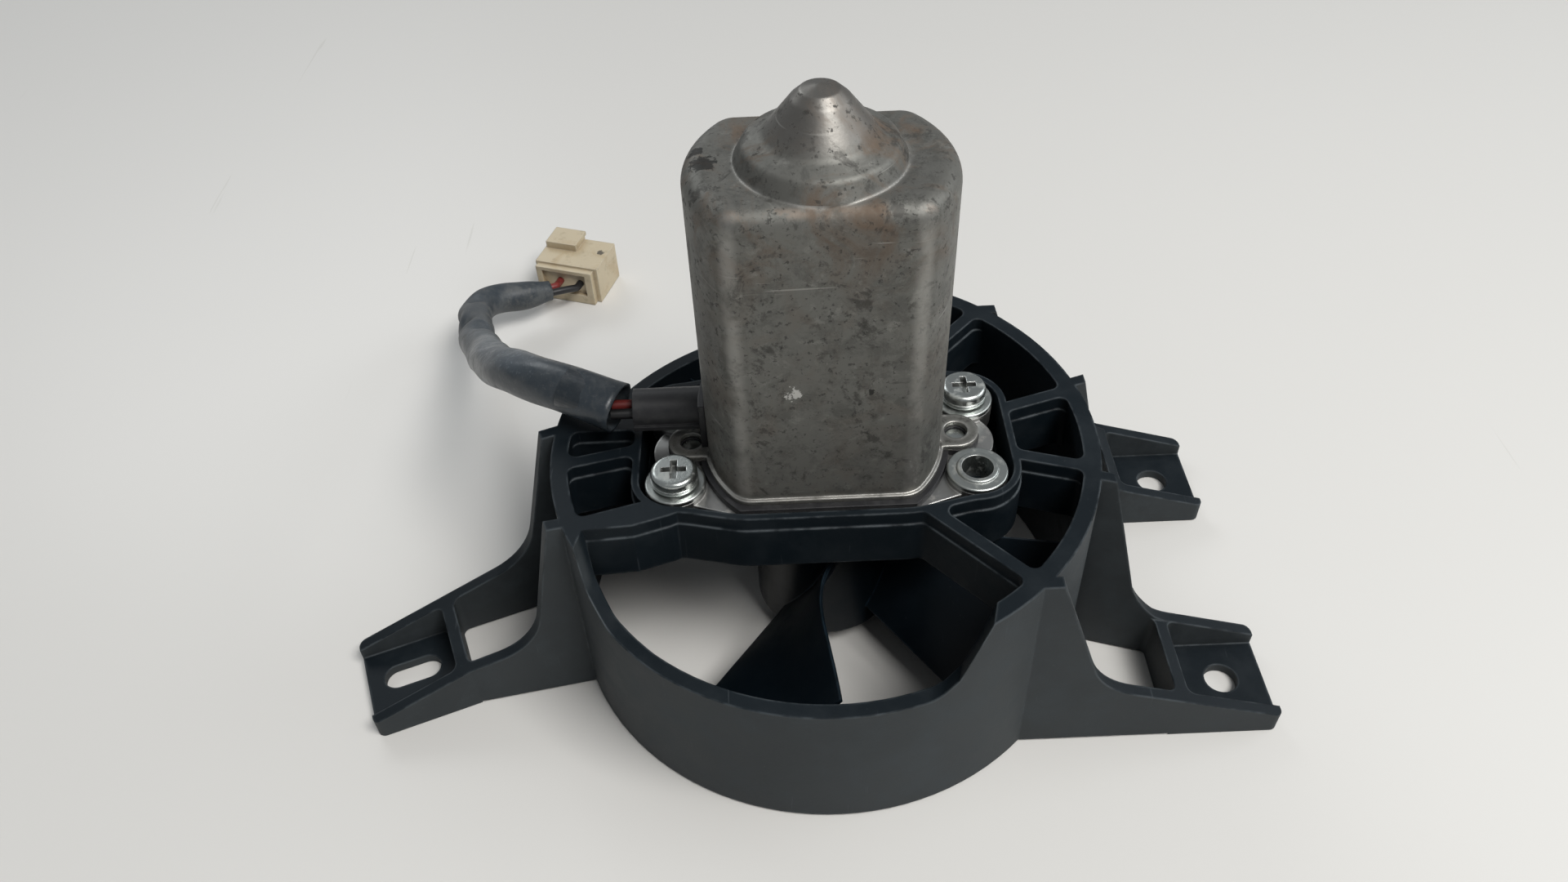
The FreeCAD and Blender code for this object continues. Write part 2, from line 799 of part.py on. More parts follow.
def mounting_screws():
    s = size
    flange_top = s["plate_base"] + s["plate_thickness"] + s["lug_rise"] + s["flange_thickness"]
    seat = flange_top + s["flange_rim_rise"]
    head_base = seat + s["washer_thickness"]
    head_top = head_base + s["screw_head_height"]
    for number, place in enumerate((lug_places()[0], lug_places()[2]), start=1):
        x, y = place
        name = "screw_washer_%d" % number
        disc = cylinder(name + "_disc", s["washer_radius"], seat, head_base, x, y)
        hole = cylinder(name + "_hole", s["screw_radius"] + s["running_gap"], seat - 1, head_base + 1, x, y)
        keep(cut(name + "_part", disc, hole), name)
        name = "mounting_screw_%d" % number
        shank = cylinder(
            name + "_shank", s["screw_radius"], head_base - s["screw_reach"] - 3, head_base + 0.5, x, y)
        head = cylinder(name + "_head", s["screw_head_radius"], head_base, head_top, x, y)
        recess = (head_top - 1.9, head_top + 1)
        slot = 0.75
        reach = 2.9
        x_slot = box(name + "_slot_x", (x - reach, x + reach), (y - slot, y + slot), recess)
        y_slot = box(name + "_slot_y", (x - slot, x + slot), (y - reach, y + reach), recess)
        screw_top = head_top.number

        def at_crown(edge):
            return edge.BoundBox.ZMin > screw_top - 0.01

        crown = rounded(name + "_crown", head, s["screw_head_height"] * 0.45, at_crown)
        keep(cut(name + "_part", fuse(name + "_solid", crown, shank), x_slot, y_slot), name)


def can_screws():
    s = size
    top = can_base()
    for number, x in enumerate((s["ear_reach"], -s["ear_reach"]), start=1):
        name = "can_screw_%d" % number
        shank = cylinder(name + "_shank", s["can_screw_radius"], s["plate_base"] - 0.5, top - 0.5, x)
        head = cylinder(
            name + "_head", s["can_screw_radius"] * 1.9, s["plate_base"] - 2.2, s["plate_base"], x)
        keep(fuse(name + "_solid", shank, head), name)


# Can


def flat_sided(name, radius, flat, low, high):
    """A cylinder with two flats, front and back."""
    reach = as_size(radius) + 5
    round_part = cylinder(name + "_round_part", radius, low, high)
    sides = box(name + "_sides", (-reach, reach), (-as_size(flat), flat), (low, high))
    return common(name, round_part, sides)


def base_gasket():
    s = size
    low = s["plate_base"] + s["plate_thickness"]
    high = low + s["gasket_thickness"]
    sheet_part = flat_sided("gasket_sheet", s["gasket_radius"], s["gasket_flat"], low, high)
    bore = flat_sided("gasket_hole", s["gasket_bore"], s["gasket_flat"] - 4, low - 1, high + 1)
    ears = []
    holes = []
    for number, x in enumerate((s["ear_reach"], -s["ear_reach"]), start=1):
        ears.append(cylinder("gasket_ear_%d" % number, s["ear_radius"] + 0.2, low, high, x))
        holes.append(cylinder("gasket_eye_%d" % number, s["can_screw_radius"] + 0.1, low - 1, high + 1, x))
    keep(cut("gasket_part", fuse("gasket_solid", sheet_part, *ears), bore, *holes), "base_gasket")


def nose(name, inset, shoulder):
    """The stepped cone on the end of the can; inset makes the hollow inside it."""
    s = size
    skirt_top = shoulder + 3.6 - inset / 3
    step = shoulder + s["nose_step_rise"] - inset
    tip = shoulder + s["nose_tip_rise"] - inset
    body = revolved(name + "_turned", [
        (0, shoulder - 1 - inset),
        (s["nose_base_radius"] - inset, shoulder - 1 - inset),
        (s["nose_base_radius"] - inset, shoulder),
        (s["nose_base_radius"] - 1.9 - inset, skirt_top),
        (s["nose_step_radius"] - inset * 0.6, step),
        (s["nose_tip_radius"] - inset * 0.6, tip),
        (s["nose_tip_radius"] - 1.9 - inset * 0.6, shoulder + s["nose_height"] - 1 - inset),
        (0, shoulder + s["nose_height"] - inset),
    ])

    def at_step(edge):
        return abs(edge.BoundBox.ZMin - step.number) < 0.01 and edge.BoundBox.ZLength < 0.01

    def at_crests(edge):
        level = edge.BoundBox.ZMin
        near = min(abs(level - skirt_top.number), abs(level - tip.number)) < 0.01
        return near and edge.BoundBox.ZLength < 0.01

    crests = rounded(name + "_crests", body, s["nose_crest"] - inset * 0.3, at_crests)
    return rounded(name, crests, s["nose_step"], at_step)


def can_base():
    return size["plate_base"] + size["plate_thickness"] + size["gasket_thickness"]


def can_top():
    return can_base() + size["can_height"]


def motor_can():
    s = size
    low = can_base()
    shoulder = can_top()
    outer = flat_sided("can_outer", s["can_radius"], s["can_flat"], low, shoulder)
    inner_top = shoulder - s["can_wall"]
    inner = flat_sided(
        "can_inner", s["can_radius"] - s["can_wall"], s["can_flat"] - s["can_wall"], low - 1, inner_top)
    outer_round = rounded("can_outer_round", outer, s["can_corner"], is_upright)
    inner_round = rounded("can_inner_round", inner, s["can_corner"] - s["can_wall"], is_upright)
    top = shoulder.number

    def at_shoulder(edge):
        return edge.BoundBox.ZMin > top - 0.01

    def at_inner_shoulder(edge):
        return edge.BoundBox.ZMin > inner_top.number - 0.01

    shell_outer = rounded("can_shoulder", outer_round, s["can_edge"], at_shoulder)
    shell_inner = rounded("can_inner_shoulder", inner_round, s["can_edge"] - s["can_wall"], at_inner_shoulder)
    lip_radius = s["can_radius"] + s["can_lip"]
    lip = flat_sided("can_lip_ring", lip_radius, s["can_flat"] + s["can_lip"], low, low + s["can_lip_height"])
    lip_round = rounded("can_lip_round", lip, s["can_corner"], is_upright)
    ears = []
    holes = []
    for number, side in enumerate((1, -1), start=1):
        x = s["ear_reach"] * side
        ears.append(cylinder("ear_%d" % number, s["ear_radius"], low, low + s["ear_thickness"], x))
        inward = s["can_radius"] * side
        span = (inward, x) if side > 0 else (x, inward)
        sides = (-s["ear_radius"], s["ear_radius"])
        ears.append(box("ear_root_%d" % number, span, sides, (low, low + s["ear_thickness"])))
        holes.append(cylinder(
            "ear_hole_%d" % number, s["ear_hole_radius"], low - 1, low + s["ear_thickness"] + 1, x))
    body = fuse("can_body", shell_outer, lip_round, nose("can_nose", as_size(0), shoulder), *ears)
    notch_side = s["cable_side"]
    notch = box(
        "can_notch", (-s["can_radius"] - 2, -s["can_radius"] + 8), (notch_side - 6.2, notch_side + 6.2),
                (low + 1.3, low + 12.8))
    hollow = fuse("can_hollow", shell_inner, nose("can_nose_hollow", s["can_wall"], shoulder))
    keep(cut("can_part", body, hollow, notch, *holes), "motor_can")


# Bearings, shaft and armature


def bearings():
    s = size
    low = s["plate_base"] + 0.5 - s["bearing_height"]
    bore = s["shaft_radius"] + s["running_gap"]
    front = cylinder("front_bush", s["bearing_radius"], low, low + s["bearing_height"])
    front_bore = cylinder("front_bush_bore", bore, low - 1, low + s["bearing_height"] + 1)
    keep(cut("front_bearing_part", front, front_bore), "front_bearing")
    rear_centre = can_top() + s["rear_bearing_rise"]
    ball = document.addObject("Part::Sphere", "rear_ball")
    bind(ball, "Radius", s["rear_bearing_radius"])
    bind(ball, "Placement.Base.z", rear_centre)
    half = s["rear_bearing_half"]
    reach = s["rear_bearing_radius"] + 1
    slab = box("rear_slab", (-reach, reach), (-reach, reach), (rear_centre - half, rear_centre + half))
    rear_bore = cylinder("rear_bush_bore", bore, rear_centre - half - 1, rear_centre + half + 1)
    keep(cut("rear_bearing_part", common("rear_bush", ball, slab), rear_bore), "rear_bearing")
    ball_radius = math.sqrt(s["rear_bearing_radius"].number ** 2 - half.number ** 2)
    clip_top = rear_centre - half
    clip_low = clip_top - s["clip_thickness"]
    clip = cylinder("clip_disc", s["clip_radius"], clip_low, clip_top)
    clip_bore = cylinder("clip_bore", ball_radius - 1.0, clip_low - 1, clip_top + 1)
    keep(cut("clip_part", clip, clip_bore), "bearing_clip")


def shaft():
    s = size
    radius = s["shaft_radius"]
    collar = s["collar_radius"]
    front_end = s["plate_base"] + 1.8
    commutator_base = can_base() + s["commutator_rise"]
    rear_centre = can_top() + s["rear_bearing_rise"]
    core_top = can_top() - s["core_drop"] + s["coil_height"] + 0.1
    rear_low = core_top + 2
    rear_high = rear_centre - s["rear_bearing_half"] - 1.4
    body = revolved("shaft_turned", [
        (0, s["shaft_base"]),
        (radius - 0.5, s["shaft_base"]),
        (radius, s["shaft_base"] + 0.5),
        (radius, front_end),
        (collar, front_end),
        (collar, commutator_base),
        (radius, commutator_base),
        (radius, rear_low),
        (collar, rear_low),
        (collar, rear_high),
        (radius, rear_high),
        (radius, rear_centre + s["rear_bearing_half"] + 1),
        (radius - 0.6, rear_centre + s["rear_bearing_half"] + 1.6),
        (0, rear_centre + s["rear_bearing_half"] + 1.6),
    ])
    keep(body, "shaft")
    for number, low in enumerate((front_end - 0.9, rear_high), start=1):
        name = "thrust_washer_%d" % number
        disc = cylinder(name + "_disc", collar + 0.4, low, low + 0.9)
        hole = cylinder(name + "_hole", radius + s["running_gap"], low - 1, low + 2)
        keep(cut(name + "_part", disc, hole), name)


def armature():
    s = size
    low = can_base() + s["core_rise"]
    high = can_top() - s["core_drop"]
    bore = s["shaft_radius"] + s["running_gap"]
    core = cylinder("core_disc", s["core_radius"], low, high)
    tools = [cylinder("core_bore", bore, low - 1, high + 1)]
    bars = []
    gap = s["running_gap"]
    for number in range(CORE_SLOTS):
        turn = math.radians(360.0 * number / CORE_SLOTS)
        centre = s["core_slot_centre"]
        x = centre * math.cos(turn)
        y = centre * math.sin(turn)
        tools.append(cylinder("core_slot_%d" % number, s["core_slot_radius"], low - 1, high + 1, x, y))
        reach = s["core_radius"] + 1
        end = (reach * math.cos(turn), reach * math.sin(turn))
        tools.append(bar("core_mouth_%d" % number, (x, y), end, s["core_slot_mouth"], (low - 1, high + 1)))
        bars.append(cylinder(
            "coil_bar_%d" % number, s["core_slot_radius"] - gap, low - 0.5, high + 0.5, x, y))
    keep(cut("core_part", core, fuse("core_tools", *tools)), "armature_core")
    ends = []
    coil_ends = ((low - s["coil_height"], low), (high, high + s["coil_height"]))
    for number, (start, end) in enumerate(coil_ends, start=1):
        disc = cylinder("coil_end_%d" % number, s["coil_radius"], start, end)
        ends.append(rounded("coil_end_round_%d" % number, disc, 2.5, lambda edge: len(edge.Vertexes) == 1))
    coils = fuse("coil_solid", *ends, *bars)
    way = cylinder(
        "coil_bore", s["collar_radius"] + 1, low - s["coil_height"] - 1, high + s["coil_height"] + 1)
    keep(cut("coil_part", coils, way), "armature_windings")
    base = can_base() + s["commutator_rise"]
    span = (base - 1, base + s["commutator_height"] + 1)
    segments = cylinder("commutator_disc", s["commutator_radius"], base, base + s["commutator_height"])
    cuts = [cylinder("commutator_bore", bore, *span)]
    for number in range(CORE_SLOTS):
        turn = math.radians(360.0 * (number + 0.5) / CORE_SLOTS)
        start = s["commutator_radius"] - 0.8
        end = s["commutator_radius"] + 1
        cuts.append(bar("segment_gap_%d" % number, (start * math.cos(turn), start * math.sin(turn)),
                        (end * math.cos(turn), end * math.sin(turn)), 0.5, span))
    keep(cut("commutator_part", segments, fuse("commutator_cuts", *cuts)), "commutator")


def field_magnets():
    s = size
    outer = s["can_radius"] - s["can_wall"] - s["running_gap"] * 2
    low = can_base() + s["magnet_rise"]
    high = can_top() - s["magnet_drop"]
    shell = cut("magnet_shell", cylinder("magnet_outer", outer, low, high),
                cylinder("magnet_bore", s["magnet_inner"], low - 1, high + 1))
    rise = math.tan(math.radians(s["magnet_half_angle"].number))
    reach = outer + 2
    for number, side in enumerate((1, -1), start=1):
        wedge = prism("magnet_wedge_%d" % number, [
            (0, 0), (reach * side, -reach * rise), (reach * side, reach * rise),
        ], low, high)
        keep(common("magnet_%d" % number, shell, wedge), "field_magnet_%d" % number)


def brush_gear():
    s = size
    low = can_base() + s["card_rise"]
    high = low + s["card_thickness"]
    card = flat_sided("card_sheet", s["card_radius"], s["card_flat"], low, high)
    bore = cylinder("card_bore", s["card_bore"], low - 1, high + 1)
    keep(cut("card_part", card, bore), "brush_card")
    gap = s["running_gap"]
    half = s["brush_width"] / 2
    inner = s["commutator_radius"] + 0.1
    brush_low = high + s["holder_wall"] + gap
    brush_high = brush_low + s["brush_height"]
    holder_start = s["commutator_radius"] + 1.4
    holder_end = holder_start + s["holder_length"]
    wall = s["holder_wall"]
    for number, side in enumerate((1, -1), start=1):
        def across(start, end):
            return (start * side, end * side) if side > 0 else (end * side, start * side)
        keep(box("brush_block_%d" % number, across(inner, inner + s["brush_length"]), (-half, half),
                 (brush_low, brush_high)), "brush_%d" % number)
        tube = box(
            "holder_tube_%d" % number, across(holder_start, holder_end), (-half - gap - wall, half + gap + wall),
                   (high, brush_high + gap + wall))
        way = box(
            "holder_way_%d" % number, across(holder_start - 1, holder_end - wall), (-half - gap, half + gap),
                  (brush_low - gap, brush_high + gap))
        keep(cut("holder_part_%d" % number, tube, way), "brush_holder_%d" % number)
        spring_start = inner + s["brush_length"]
        spring_end = holder_end - wall
        centre = (brush_low + brush_high) / 2
        keep(spring("brush_coil_%d" % number, spring_start.number, spring_end.number, side, centre.number),
             "brush_spring_%d" % number)


def spring(name, start, end, side, height):
    """A coil spring along X, closed by flat end turns."""
    wire = 0.3
    radius = 1.6
    clear = wire + 0.02
    run = end - start - 2 * clear
    helix = Part.makeHelix(run / 5, run, radius)
    profile = Part.Wire([Part.makeCircle(wire, Vector(radius, 0, 0), Vector(0, 1, 0))])
    coil = Part.Wire(helix).makePipeShell([profile], True, True)
    made = document.addObject("Part::Feature", name)
    made.Shape = coil
    turn = FreeCAD.Rotation(Vector(0, 1, 0), 90 * side)
    made.Placement = FreeCAD.Placement(Vector((start + clear) * side, 0, height), turn)
    return made


# Cable and connector


def tube(name, route, radius):
    """A round solid along straight runs joined by tangent arcs."""
    points = [Vector(*point) for point in route]
    edges = []
    previous = points[0]
    radii = []
    for before, corner, after in zip(points, points[1:], points[2:]):
        back = before - corner
        ahead = after - corner
        shorter = min(back.Length, ahead.Length)
        half_turn = (math.pi - back.getAngle(ahead)) / 2
        reach = 0.45 * shorter
        radii.append(reach / math.tan(half_turn))
        start = corner + back.normalize() * reach
        end = corner + ahead.normalize() * reach
        bend = (start - corner) + (end - corner)
        centre = corner + bend.normalize() * (radii[-1] / math.cos(half_turn))
        middle = centre + (corner - centre).normalize() * radii[-1]
        edges.append(Part.makeLine(previous, start))
        edges.append(Part.Arc(start, middle, end).toShape())
        previous = end
    edges.append(Part.makeLine(previous, points[-1]))
    path = Part.Wire(edges)
    profile = Part.Wire([Part.makeCircle(radius, points[0], points[1] - points[0])])
    made = document.addObject("Part::Feature", name)
    made.Shape = path.makePipeShell([profile], True, False)
    ratio = made.Shape.Volume / (math.pi * radius ** 2 * path.Length)
    print(name, "length %.1f" % path.Length, "volume ratio %.4f" % ratio, "radii",
          ["%.1f" % value for value in radii])
    return made


def cable_grommet():
    s = size
    side = s["cable_side"]
    low = can_base() + s["can_lip_height"] + 0.2
    top = can_base() + 12.7
    outer = s["can_radius"]
    gap = s["running_gap"]
    collar_shell = cut("collar_shell", cylinder("collar_outer", outer + 1.5, low, top + 1.6),
                       cylinder("collar_inner", outer + gap, low - 1, top + 3))
    collar_window = box("collar_window", (-outer - 5, 0), (side - 7.4, side + 7.4), (low - 1, top + 3))
    plug_shell = cut("plug_shell", cylinder("plug_outer", outer + 0.5, low, top),
                     cylinder("plug_inner", outer - s["can_wall"] - 0.6, low - 1, top + 1))
    plug_window = box("plug_window", (-outer - 5, 0), (side - 6.1, side + 6.1), (low - 1, top + 3))
    height = can_base() + s["cable_rise"]
    pipe = lying_cylinder("grommet_pipe", s["grommet_radius"], 1.5 - outer, -s["grommet_reach"], side, height)
    bore = lying_cylinder("grommet_way", s["grommet_bore"], 6 - outer, -s["grommet_reach"] - 1, side, height)
    radius = s["grommet_radius"]
    ridge = box(
        "grommet_ridge_bar", (-s["grommet_reach"], 1 - outer), (side - radius - s["grommet_ridge"], side - 2),
                (height - 2.4, height - 1.2))
    solid = fuse("grommet_solid", common("collar", collar_shell, collar_window),
                 common("plug", plug_shell, plug_window), pipe, ridge)
    keep(cut("grommet_part", solid, bore), "cable_grommet")


def wires():
    s = size
    side = s["cable_side"].number
    spread = s["wire_spread"].number
    height = (can_base() + s["cable_rise"]).number
    mouth = SLEEVE_ROUTE[0][0] - 1.6
    radius = s["wire_radius"].number
    holder_end = s["commutator_radius"].number + 1.4 + s["holder_length"].number
    black = [(mouth, side - spread, height), (-holder_end - 3.5, side - spread, height),
             (-holder_end - 1.1, 1.2, height)]
    red = [(mouth, side + spread, height), (-22.0, side + spread, height), (-15.0, 12.5, height),
           (0.0, 14.6, height), (15.0, 12.0, height), (holder_end + 1.7, 5.2, height),
           (holder_end + 1.7, 0.5, height)]
    keep(tube("black_lead", black, radius), "black_wire")
    keep(tube("red_lead", red, radius), "red_wire")


def sleeve():
    keep(tube("sleeve_tube", SLEEVE_ROUTE, size["sleeve_radius"].number), "cable_sleeve")
    end = Vector(*SLEEVE_ROUTE[-1])
    heading = (end - Vector(*SLEEVE_ROUTE[-2])).normalize()
    across = AXIS_Z.cross(heading).normalize()
    angle = math.radians(-size["connector_angle"].number)
    along_face = Vector(math.cos(angle), math.sin(angle), 0)
    into_face = Vector(-math.sin(angle), math.cos(angle), 0)
    corner = Vector(
        size["connector_left"].number, size["connector_front"].number, size["cavity_centre"].number)
    spread = size["wire_spread"].number
    near = size["cavity_near"].number
    far = size["cavity_far"].number
    recess = (size["connector_frame"] - 0.6).number
    tail_runs = (("red_tail", 1, near, 3.0, 2.5), ("black_tail", -1, far, 5.0, 3.0))
    for name, side, place, lead, approach in tail_runs:
        start = end + across * (spread * side)
        entry = corner + along_face * place + into_face * recess
        route = [start, start + heading * lead, entry - into_face * approach, entry]
        keep(tube(name + "_lead", [tuple(point) for point in route], size["wire_radius"].number), name)


def connector():
    s = size
    width = s["connector_width"]
    length = s["connector_length"]
    height = s["connector_height"]
    inset = s["connector_inset"]
    frame_depth = s["connector_frame"]
    frame = box("connector_frame_block", (inset / 2, width - inset), (0, frame_depth + 1), (0, height - 0.8))
    middle = box("connector_block", (0, width), (frame_depth, length), (0, height))
    latch = box("connector_latch", (0.6, s["latch_width"]), (length - s["latch_length"], length),
                (height - 1, height + s["latch_rise"]))
    lip = box("connector_latch_lip", (0.6, s["latch_width"]), (length - 1, length + 1.2),
              (height + s["latch_rise"] - 1.4, height + s["latch_rise"]))
    solid = fuse("connector_solid", frame, middle, latch, lip)
    mid = s["cavity_centre"]
    mouth = box("connector_mouth", (inset * 1.8, width - inset * 2.6), (-1, frame_depth - 0.6),
                (mid - 4.2, mid + 4.2))
    tools = [mouth]
    gap = s["running_gap"]
    half = s["cavity_width"] / 2
    back = length - s["cavity_depth"]
    floor = mid - s["cavity_height"] / 2
    for number, x in enumerate((s["cavity_near"], s["cavity_far"]), start=1):
        tools.append(box("cavity_%d" % number, (x - half, x + half), (back, length + 2),
                         (floor, mid + s["cavity_height"] / 2)))
        name = "connector_terminal_%d" % number
        wide = s["cavity_width"] - 1.0
        blade = box(name + "_plate", (x - wide / 2, x + wide / 2), (back + gap, length - 2),
                    (floor + gap, floor + gap + s["terminal_thickness"]))
        rolls = []
        for roll, edge in enumerate((x - wide / 2, x + wide / 2 - 1.2), start=1):
            rolls.append(box("%s_roll_%d" % (name, roll), (edge, edge + 1.2), (back + 5, length - 2),
                             (floor + gap, mid + s["cavity_height"] / 2 - 0.6)))
        terminal = fuse(name + "_solid", blade, *rolls)
        turned(terminal, -s["connector_angle"].number, s["connector_left"], s["connector_front"])
        keep(terminal, name)
    body = cut("connector_part", solid, *tools)
    turned(body, -s["connector_angle"].number, s["connector_left"], s["connector_front"])
    keep(body, "connector_housing")


# Fan


def blade_section(distance, upper, lower):
    """A cambered section across the blade, as a closed wire at one distance from the axis."""
    s = size
    top = Vector(distance, upper, s["blade_top"].number)
    base = Vector(distance, lower, s["blade_base"].number)
    chord = base - top
    normal = Vector(1, 0, 0).cross(chord).normalize()
    full = s["blade_half_thickness"].number
    edge = s["blade_edge"].number
    first = []
    second = []
    for share in (0.0, 0.25, 0.5, 0.75, 1.0):
        swell = 4 * share * (1 - share)
        centre = top + chord * share + normal * (s["blade_camber"].number * chord.Length * swell)
        half = edge + (full - edge) * min(1.0, swell * 1.3)
        first.append(centre + normal * half)
        second.append(centre - normal * half)
    second.reverse()
    curves = []
    for side in (first, second):
        curve = Part.BSplineCurve()
        curve.interpolate(side)
        curves.append(curve.toShape())
    near_end = Part.makeLine(first[-1], second[0])
    far_end = Part.makeLine(second[-1], first[0])
    return Part.Wire([curves[0], near_end, curves[1], far_end])


def fan_blades():
    s = size
    loft = Part.makeLoft([blade_section(*section) for section in BLADE_SECTIONS], True, False)
    low = s["fan_base"].number
    tall = s["fan_hub_height"].number + 5
    disc = Part.makeCylinder(s["fan_tip_radius"].number, tall, Vector(0, 0, low))
    core = Part.makeCylinder(s["fan_hub_radius"].number - 1.0, tall, Vector(0, 0, low))
    trimmed = loft.common(disc).cut(core)
    made = []
    for number in range(BLADE_COUNT):
        blade = document.addObject("Part::Feature", "blade_%d" % (number + 1))
        blade.Shape = trimmed
        turned(blade, s["blade_azimuth"].number + 360.0 * number / BLADE_COUNT)
        made.append(blade)
    return made


def fan_impeller():
    s = size
    low = s["fan_base"]
    top = low + s["fan_hub_height"]
    wall = s["fan_hub_wall"]
    radius = s["fan_hub_radius"]
    cup = cylinder("fan_cup", radius, low, top)
    top_number = top.number

    def at_top(edge):
        return edge.BoundBox.ZMin > top_number - 0.01

    cup_round = rounded("fan_cup_round", cup, 2.5, at_top)
    hollow = cut("fan_cup_shell", cup_round, cylinder("fan_cup_hollow", radius - wall, low - 1, top - wall))
    sleeve_low = s["shaft_base"] + s["nut_height"] + s["fan_washer_thickness"] + 1
    sleeve_part = cylinder("fan_sleeve", s["fan_sleeve_radius"], sleeve_low, top - wall + 0.5)
    ribs = []
    for number in range(FAN_RIBS):
        turn = math.radians(360.0 * number / FAN_RIBS)
        start = s["shaft_radius"] + 1.5
        end = radius - 0.5
        ribs.append(bar("fan_rib_%d" % number, (start * math.cos(turn), start * math.sin(turn)),
                        (end * math.cos(turn), end * math.sin(turn)), s["fan_rib"],
                        (low + 12, top - wall + 0.5)))
    solid = fuse("fan_solid", hollow, sleeve_part, *ribs, *fan_blades())
    bore = cylinder("fan_bore", s["shaft_radius"] + s["running_gap"], low - 1, top + 1)
    keep(cut("fan_part", solid, bore), "fan_impeller")
    washer_low = sleeve_low - s["fan_washer_thickness"]
    disc = cylinder("fan_washer_disc", s["nut_radius"] + 0.6, washer_low, sleeve_low)
    hole = cylinder("fan_washer_hole", s["shaft_radius"] + s["running_gap"], washer_low - 1, sleeve_low + 1)
    keep(cut("fan_washer_part", disc, hole), "fan_washer")
    nut = document.addObject("Part::Prism", "fan_nut_hex")
    nut.Polygon = 6
    bind(nut, "Circumradius", s["nut_radius"])
    bind(nut, "Height", s["nut_height"])
    bind(nut, "Placement.Base.z", washer_low - s["nut_height"])
    nut_hole = cylinder("fan_nut_hole", s["shaft_radius"] + s["running_gap"], low, washer_low + 1)
    keep(cut("fan_nut_part", nut, nut_hole), "fan_nut")


def check_and_write():
    document.recompute()
    failed = [item.Name for item in document.Objects if "Invalid" in item.State or "Error" in item.State]
    if failed:
        raise RuntimeError("failed objects: %s" % failed)
    for item in nodes:
        if item.Shape.isNull() or not item.Shape.isValid() or not item.Shape.Solids:
            raise RuntimeError("bad shape: " + item.Label)
    for item in nodes:
        item.Shape.exportStep("parts/%s.step" % item.Label)
        print(item.Label, len(item.Shape.Solids), "volume %.1f" % item.Shape.Volume)


shroud()
motor_plate()
lug_bushes()
mounting_screws()
can_screws()
base_gasket()
motor_can()
bearings()
shaft()
armature()
field_magnets()
brush_gear()
cable_grommet()
wires()
sleeve()
connector()
fan_impeller()
check_and_write()
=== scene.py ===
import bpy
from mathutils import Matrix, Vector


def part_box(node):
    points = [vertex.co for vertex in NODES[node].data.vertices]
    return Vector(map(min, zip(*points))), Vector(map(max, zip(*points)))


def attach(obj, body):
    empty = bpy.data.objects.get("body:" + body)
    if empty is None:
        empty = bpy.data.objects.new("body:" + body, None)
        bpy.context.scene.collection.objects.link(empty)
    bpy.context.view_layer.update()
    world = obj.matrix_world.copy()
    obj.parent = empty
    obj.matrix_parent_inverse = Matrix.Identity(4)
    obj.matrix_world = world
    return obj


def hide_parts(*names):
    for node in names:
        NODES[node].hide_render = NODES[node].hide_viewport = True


bl_info = {
    "name": "Radiator fan",
    "version": (1, 0, 0),
    "blender": (4, 5, 0),
    "location": "3D View > Sidebar > Radiator fan",
    "description": "Dresses a radiator fan with its shroud, motor, impeller and lead",
    "category": "Object",
}

import math

import bmesh
import bpy
from mathutils import Matrix, Vector

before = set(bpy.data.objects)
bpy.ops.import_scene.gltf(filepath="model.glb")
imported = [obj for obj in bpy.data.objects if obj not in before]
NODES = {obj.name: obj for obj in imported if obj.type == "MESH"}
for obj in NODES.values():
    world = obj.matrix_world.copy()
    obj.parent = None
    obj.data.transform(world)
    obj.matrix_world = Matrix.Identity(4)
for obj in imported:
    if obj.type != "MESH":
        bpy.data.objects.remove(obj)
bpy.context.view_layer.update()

HOUSING = "housing"
ROTOR = "rotor"
CAN_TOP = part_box("motor_can")[1].z
# Radii between which the ring's wall lies
RING_INSIDE = 0.0618
RING_OUTSIDE = 0.0640

# Centre line of the lead's sleeve, from the motor to the connector, in metres
SLEEVE_ROUTE = [
    (-0.0484, 0.0052, 0.0674),
    (-0.0605, 0.0102, 0.0699),
    (-0.0745, 0.0205, 0.0665),
    (-0.0855, 0.0383, 0.0553),
    (-0.0958, 0.0640, 0.0384),
    (-0.1049, 0.0895, 0.0265),
    (-0.1093, 0.1080, 0.0185),
    (-0.1082, 0.1175, 0.0150),
    (-0.1032, 0.1230, 0.0129),
    (-0.0960, 0.1252, 0.0114),
    (-0.0885, 0.1293, 0.0102),
]

# Marks on the can and the connector, where the real ones are worn
CAN_MARKS = (
    ((-0.0229, -0.0007, 0.1359), 0.0030),
    ((-0.0246, 0.0039, 0.1359), 0.0018),
    ((0.0093, -0.0195, 0.0916), 0.0010),
)
# Where the can's upright corners lie; highlight bands are painted along them
CAN_CORNER = 0.0187
CAN_RIM = (0.0178, 0.1349)
CAN_SCUFF = (-0.0070, -0.0195, 0.0919)
CAN_DIMPLES = ((-0.0229, -0.0007, 0.1359), (0.0213, -0.0037, 0.1359))
CONNECTOR_SPOT = (-0.0716, 0.1450, 0.0135)


# Shading


class Value:
    """A socket of a material, worked with like a number."""

    def __init__(self, shade, socket):
        self.shade = shade
        self.socket = socket

    def maths(self, operation, *values):
        return self.shade.node("ShaderNodeMath", {"operation": operation}, dict(enumerate(values)))

    def __add__(self, other):
        return self.maths("ADD", self, other)

    def __radd__(self, other):
        return self.maths("ADD", other, self)

    def __sub__(self, other):
        return self.maths("SUBTRACT", self, other)

    def __rsub__(self, other):
        return self.maths("SUBTRACT", other, self)

    def __mul__(self, other):
        return self.maths("MULTIPLY", self, other)

    def __rmul__(self, other):
        return self.maths("MULTIPLY", other, self)

    def __pow__(self, other):
        return self.maths("POWER", self, other)

    def __abs__(self):
        return self.maths("ABSOLUTE", self)

    def larger(self, other):
        return self.maths("MAXIMUM", self, other)


